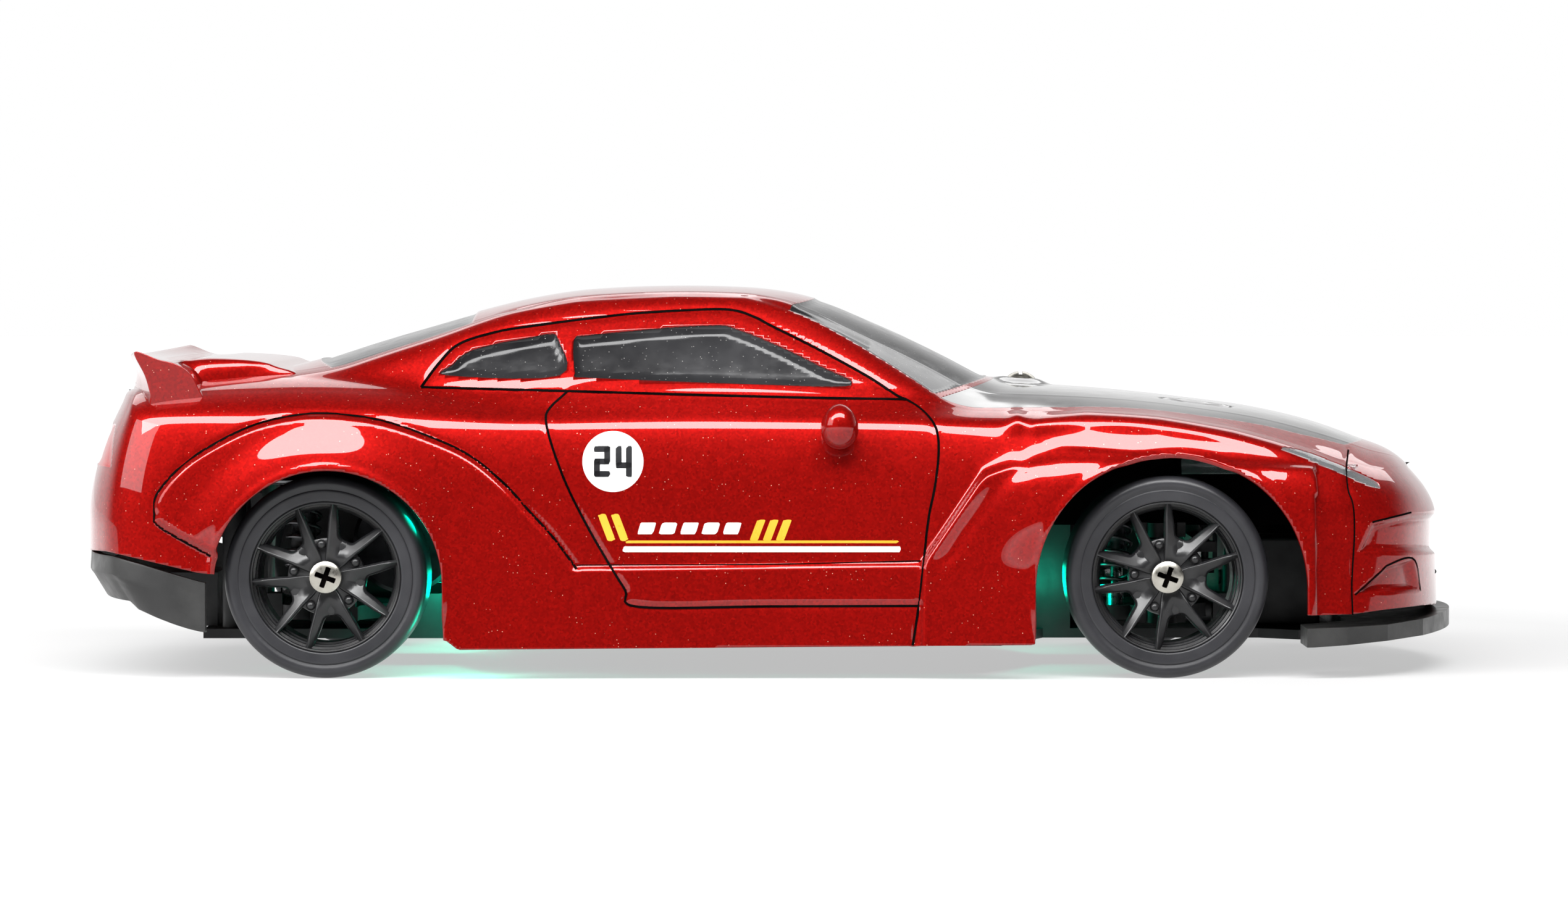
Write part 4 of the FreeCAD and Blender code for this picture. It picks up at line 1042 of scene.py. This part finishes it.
def spoke_star(centre, side, first):
    """The ten spokes as one raised face with walls, as places with normals, and triangles."""
    x, z = centre
    r, turn = np.meshgrid(np.linspace(2.6, 15.3, 76), np.linspace(0, 2 * math.pi, 661), indexing="ij")
    slot = (np.degrees(turn) - first + 36) % 72 - 36
    along_pair = r * np.cos(np.radians(slot))
    across = np.abs(r * np.sin(np.radians(slot)))
    value, lean = spoke_field(along_pair, across)
    value = np.where(r < 3.4, np.maximum(value, 3.4 - r), value)
    height = 56.1 + 1.5 * (r - 4) / 11
    height += 0.75 * np.clip(lean, -1.8, 0.55) * step(r, 4, 7)
    height -= 0.55 * (1 - np.clip(value / 0.4, 0, 1)) ** 2
    points = np.stack([x + r * np.cos(turn), side * height, z + r * np.sin(turn)], -1).reshape(-1, 3)
    facing = np.tile((0.0, float(side), 0.0), (len(points), 1))
    tris = grid_tris(*r.shape)
    kept = clip(np.hstack([points, facing]), tris if side < 0 else tris[:, ::-1], value.ravel())
    return with_lip(*kept, 2.8)


def build_rim(node, body, centre, side, first, paint):
    """A rim: stepped barrel, ten thin spokes in five pairs, sunken hub and five nuts."""
    x, z = centre
    barrel = [(16.8, 40.4), (16.8, 56.9), (15.8, 57.2), (15.65, 57.9), (15.4, 58.1), (15.15, 57.9)]
    barrel += [(15.05, 56.9), (14.6, 56.5), (14.5, 55.4), (14.2, 55.1), (14.1, 53.5), (13.8, 53.2)]
    barrel += [(13.8, 46), (15.3, 40.4), (16.8, 40.4)]
    hub = [(0.0, 55.6), (7.3, 55.6), (7.9, 55.3), (8.1, 54.4), (7.6, 53.4), (5.8, 53.0), (5.6, 44)]
    parts = {"barrel": lathe(barrel, centre, side, 144), "hub": lathe(hub, centre, side, 96)}
    for name, (points, faces) in parts.items():
        obj = mesh_object(f"{node}_{name}", points, faces, paint, body, flat_angle=35)
    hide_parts(node)
    points, tris = spoke_star(centre, side, first)
    obj = mesh_object(f"{node}_spokes", points, tris, paint, body, flat_angle=40)
    nuts, quads = [], []
    for k in range(5):
        angle = math.radians(first + 36 + 72 * k)
        place = (x + 6.8 * math.cos(angle), z + 6.8 * math.sin(angle))
        nut = [(0.0, 57.0), (0.4, 56.95), (0.75, 56.7), (0.95, 56.2), (1.0, 55.4)]
        more, part = lathe(nut, place, side, 20)
        quads += [tuple(i + len(nuts) for i in q) for q in part]
        nuts += more
    obj = mesh_object(f"{node}_nuts", nuts, quads, paint, body, flat_angle=40)


def build_screw_head(node, body, centre, side, paints):
    """A wheel's pan-head screw with its cross recess coloured near black inside as painted shade."""
    x, z = centre
    r, turn = np.meshgrid(np.linspace(0, 3.35, 40), np.linspace(0, 2 * math.pi, 181), indexing="ij")
    u, v = np.abs(r * np.cos(turn + 0.35)), np.abs(r * np.sin(turn + 0.35))
    arm = np.minimum(0.5 - np.minimum(u, v), 2.15 - np.maximum(u, v))
    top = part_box(node)[1][1] / MM if side > 0 else -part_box(node)[0][1] / MM
    height = top - 1.35 * (1 - np.sqrt(1 - (r / 3.7) ** 2)) - 1.6 * step(arm, -0.03, 0.12) * (1 - 0.15 * r)
    height[-1] -= 1.2
    points = np.stack([x + r * np.cos(turn), side * height, z + r * np.sin(turn)], -1).reshape(-1, 3)
    tris = grid_tris(*r.shape)
    facing = tris if side < 0 else tris[:, ::-1]
    obj = mesh_object(f"{node}_head", points, facing, paints["nickel"], body, flat_angle=45)
    # The cross recess takes the near-black colour: painted shade in the recess.
    obj.data.materials.append(paints["seam_and_shade"])
    obj.data.polygons.foreach_set("material_index", (arm.ravel()[tris].min(1) > -0.03).astype(np.int32))
    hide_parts(node)


def build_wheels(paints):
    """Both axles' tyres and rims."""
    for end, centre, first in (("front", FRONT_AXLE, 68.0), ("rear", REAR_AXLE, 62.0)):
        for side, name in SIDES:
            body = f"wheel_{end}_{name}"
            build_tyre(f"tyre_{end}_{name}", body, centre, side, paints["tyre"])
            build_rim(f"rim_{end}_{name}", body, centre, side, first, paints["rim"])
            build_screw_head(f"wheel_screw_{end}_{name}", body, centre, side, paints)


# ---- carried-over pieces


def dress_frame(frame, paints):
    """Materials for the CAD pieces that stay as they are."""
    rules = {
        "screw": "nickel", "axle": "steel", "damper_rod": "steel", "spring": "spring",
        "damper_bodies": "alloy",
        "motor_can": "can", "motor_pinion": "brass", "differential": "nylon", "servo_horn": "nylon",
        "battery": "battery", "control": "control", "switch_slider": "switch", "underglow": "underglow",
        "front_splitter": "trim", "body_screw": "nickel",
    }
    for name, obj in frame["nodes"].items():
        chosen = next((paint for key, paint in rules.items() if key in name), "chassis")
        obj.data.materials.clear()
        obj.data.materials.append(paints[chosen])
        if name in ("front_splitter", "chassis_tub", "knuckle_left", "knuckle_right"):
            bevel(obj, 0.3, 2)


# ---- studio


def area_light(name, place, target, size, power, colour=(1, 1, 1)):
    """A soft box aimed at a point."""
    data = bpy.data.lights.new(name, "AREA")
    data.shape, data.size, data.size_y = "RECTANGLE", size[0], size[1]
    data.energy, data.color = power, colour
    lamp = bpy.data.objects.new(name, data)
    lamp.location = place
    lamp.rotation_euler = (Vector(target) - Vector(place)).to_track_quat("-Z", "Y").to_euler()
    bpy.context.collection.objects.link(lamp)


def glow_light(name, place, power, radius=0.004):
    """One of the green lights under the car."""
    data = bpy.data.lights.new(name, "POINT")
    data.energy, data.color, data.shadow_soft_size = power, (0.0, 1.0, 0.6), radius
    lamp = bpy.data.objects.new(name, data)
    lamp.location = place
    bpy.context.collection.objects.link(lamp)


def build_world():
    """White behind the car; dark round it, but for a pale wall low at the back."""
    world = bpy.data.worlds.new("studio")
    world.use_nodes = True
    tree = world.node_tree
    add, link = tree.nodes.new, tree.links.new
    split = add("ShaderNodeSeparateXYZ")
    link(add("ShaderNodeTexCoord").outputs["Generated"], split.inputs[0])
    amounts = []
    for axis, low, high, start, end in (("Z", 0.15, 0.50, 0.85, 0.0), ("Y", 0.1, 0.5, 0.0, 1.0)):
        node = add("ShaderNodeMapRange")
        for key, value in zip(("From Min", "From Max", "To Min", "To Max"), (low, high, start, end)):
            node.inputs[key].default_value = value
        link(split.outputs[axis], node.inputs["Value"])
        amounts.append(node.outputs["Result"])
    wall = add("ShaderNodeMath")
    wall.operation = "MULTIPLY_ADD"
    link(amounts[0], wall.inputs[0])
    link(amounts[1], wall.inputs[1])
    wall.inputs[2].default_value = 0.04
    seen = add("ShaderNodeMath")
    seen.operation = "MAXIMUM"
    link(wall.outputs[0], seen.inputs[0])
    link(add("ShaderNodeLightPath").outputs["Is Camera Ray"], seen.inputs[1])
    tree.nodes["Background"].inputs["Color"].default_value = (1, 1, 1, 1)
    link(seen.outputs[0], tree.nodes["Background"].inputs["Strength"])
    bpy.context.scene.world = world


def build_studio():
    """Pale floor, soft boxes, green underglow and the camera."""
    floor_mesh = bpy.data.meshes.new("floor")
    floor_mesh.from_pydata([(-6, -6, 0), (6, -6, 0), (6, 6, 0), (-6, 6, 0)], [], [(0, 1, 2, 3)])
    floor = bpy.data.objects.new("floor", floor_mesh)
    bpy.context.collection.objects.link(floor)
    m = Nodes("studio_floor")
    greys = [(0.3, (0.29, 0.29, 0.29)), (0.7, (0.32, 0.32, 0.32))]
    m.set(Base_Color=m.ramp(m.noise(3, 2), greys), Roughness=0.8)
    reach = m.add("ShaderNodeVectorMath", operation="LENGTH")
    m.link(m.place, reach.inputs[0])
    m.set(Specular_IOR_Level=0.1, Emission_Color=(1, 1, 1, 1))
    m.set(Emission_Strength=m.spread(reach.outputs["Value"], 0.5, 1.05, 0.22, 0.5))
    floor_mesh.materials.append(m.material)
    build_world()
    area_light("side_box", (-0.30, -0.62, 0.80), (-0.30, 0, 0.04), (1.7, 0.34), 27)
    area_light("tail_box", (-1.05, -0.55, 0.50), (0, 0, 0.04), (0.8, 0.6), 6)
    area_light("far_box", (0.0, 0.95, 0.75), (0, 0, 0.04), (1.6, 0.5), 5)
    spots = [("rear", -0.070, 0.03, 0.0185, 0.02), ("front", 0.058, 0.03, 0.0185, 0.007)]
    spots += [("rear_arch", -0.0735, 0.0555, 0.0325, 0.006), ("rear_floor", -0.064, 0.052, 0.007, 0.012)]
    for name, x, y, z, power in spots:
        glow_light(f"underglow_{name}_right", (x, -y, z), power)
        glow_light(f"underglow_{name}_left", (x, y, z), power)
    camera_data = bpy.data.cameras.new("camera")
    camera_data.lens, camera_data.sensor_width = 127.1, 36
    camera = bpy.data.objects.new("camera", camera_data)
    camera.location = (EYE[0] * MM, -EYE[1] * MM, EYE[2] * MM)
    camera.rotation_euler = (math.radians(90 - 1.835), 0, 0)
    bpy.context.collection.objects.link(camera)
    bpy.context.scene.camera = camera
    bpy.context.scene.view_settings.view_transform = "Standard"


def main():
    """Build everything on the frame."""
    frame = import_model()
    paints = make_materials()
    dress_frame(frame, paints)
    skin = build_shell(paints)
    build_liner(skin, paints)
    tree = BVHTree.FromPolygons([Vector(p) for p in skin[0][:, :3]], skin[1].tolist())
    build_seams(tree, paints)
    build_marks(skin, paints)
    build_wing(paints["red"])
    build_valance(paints["trim"])
    build_mirrors(paints["red"])
    build_inner_parts(paints)
    build_wheels(paints)
    build_studio()


main()
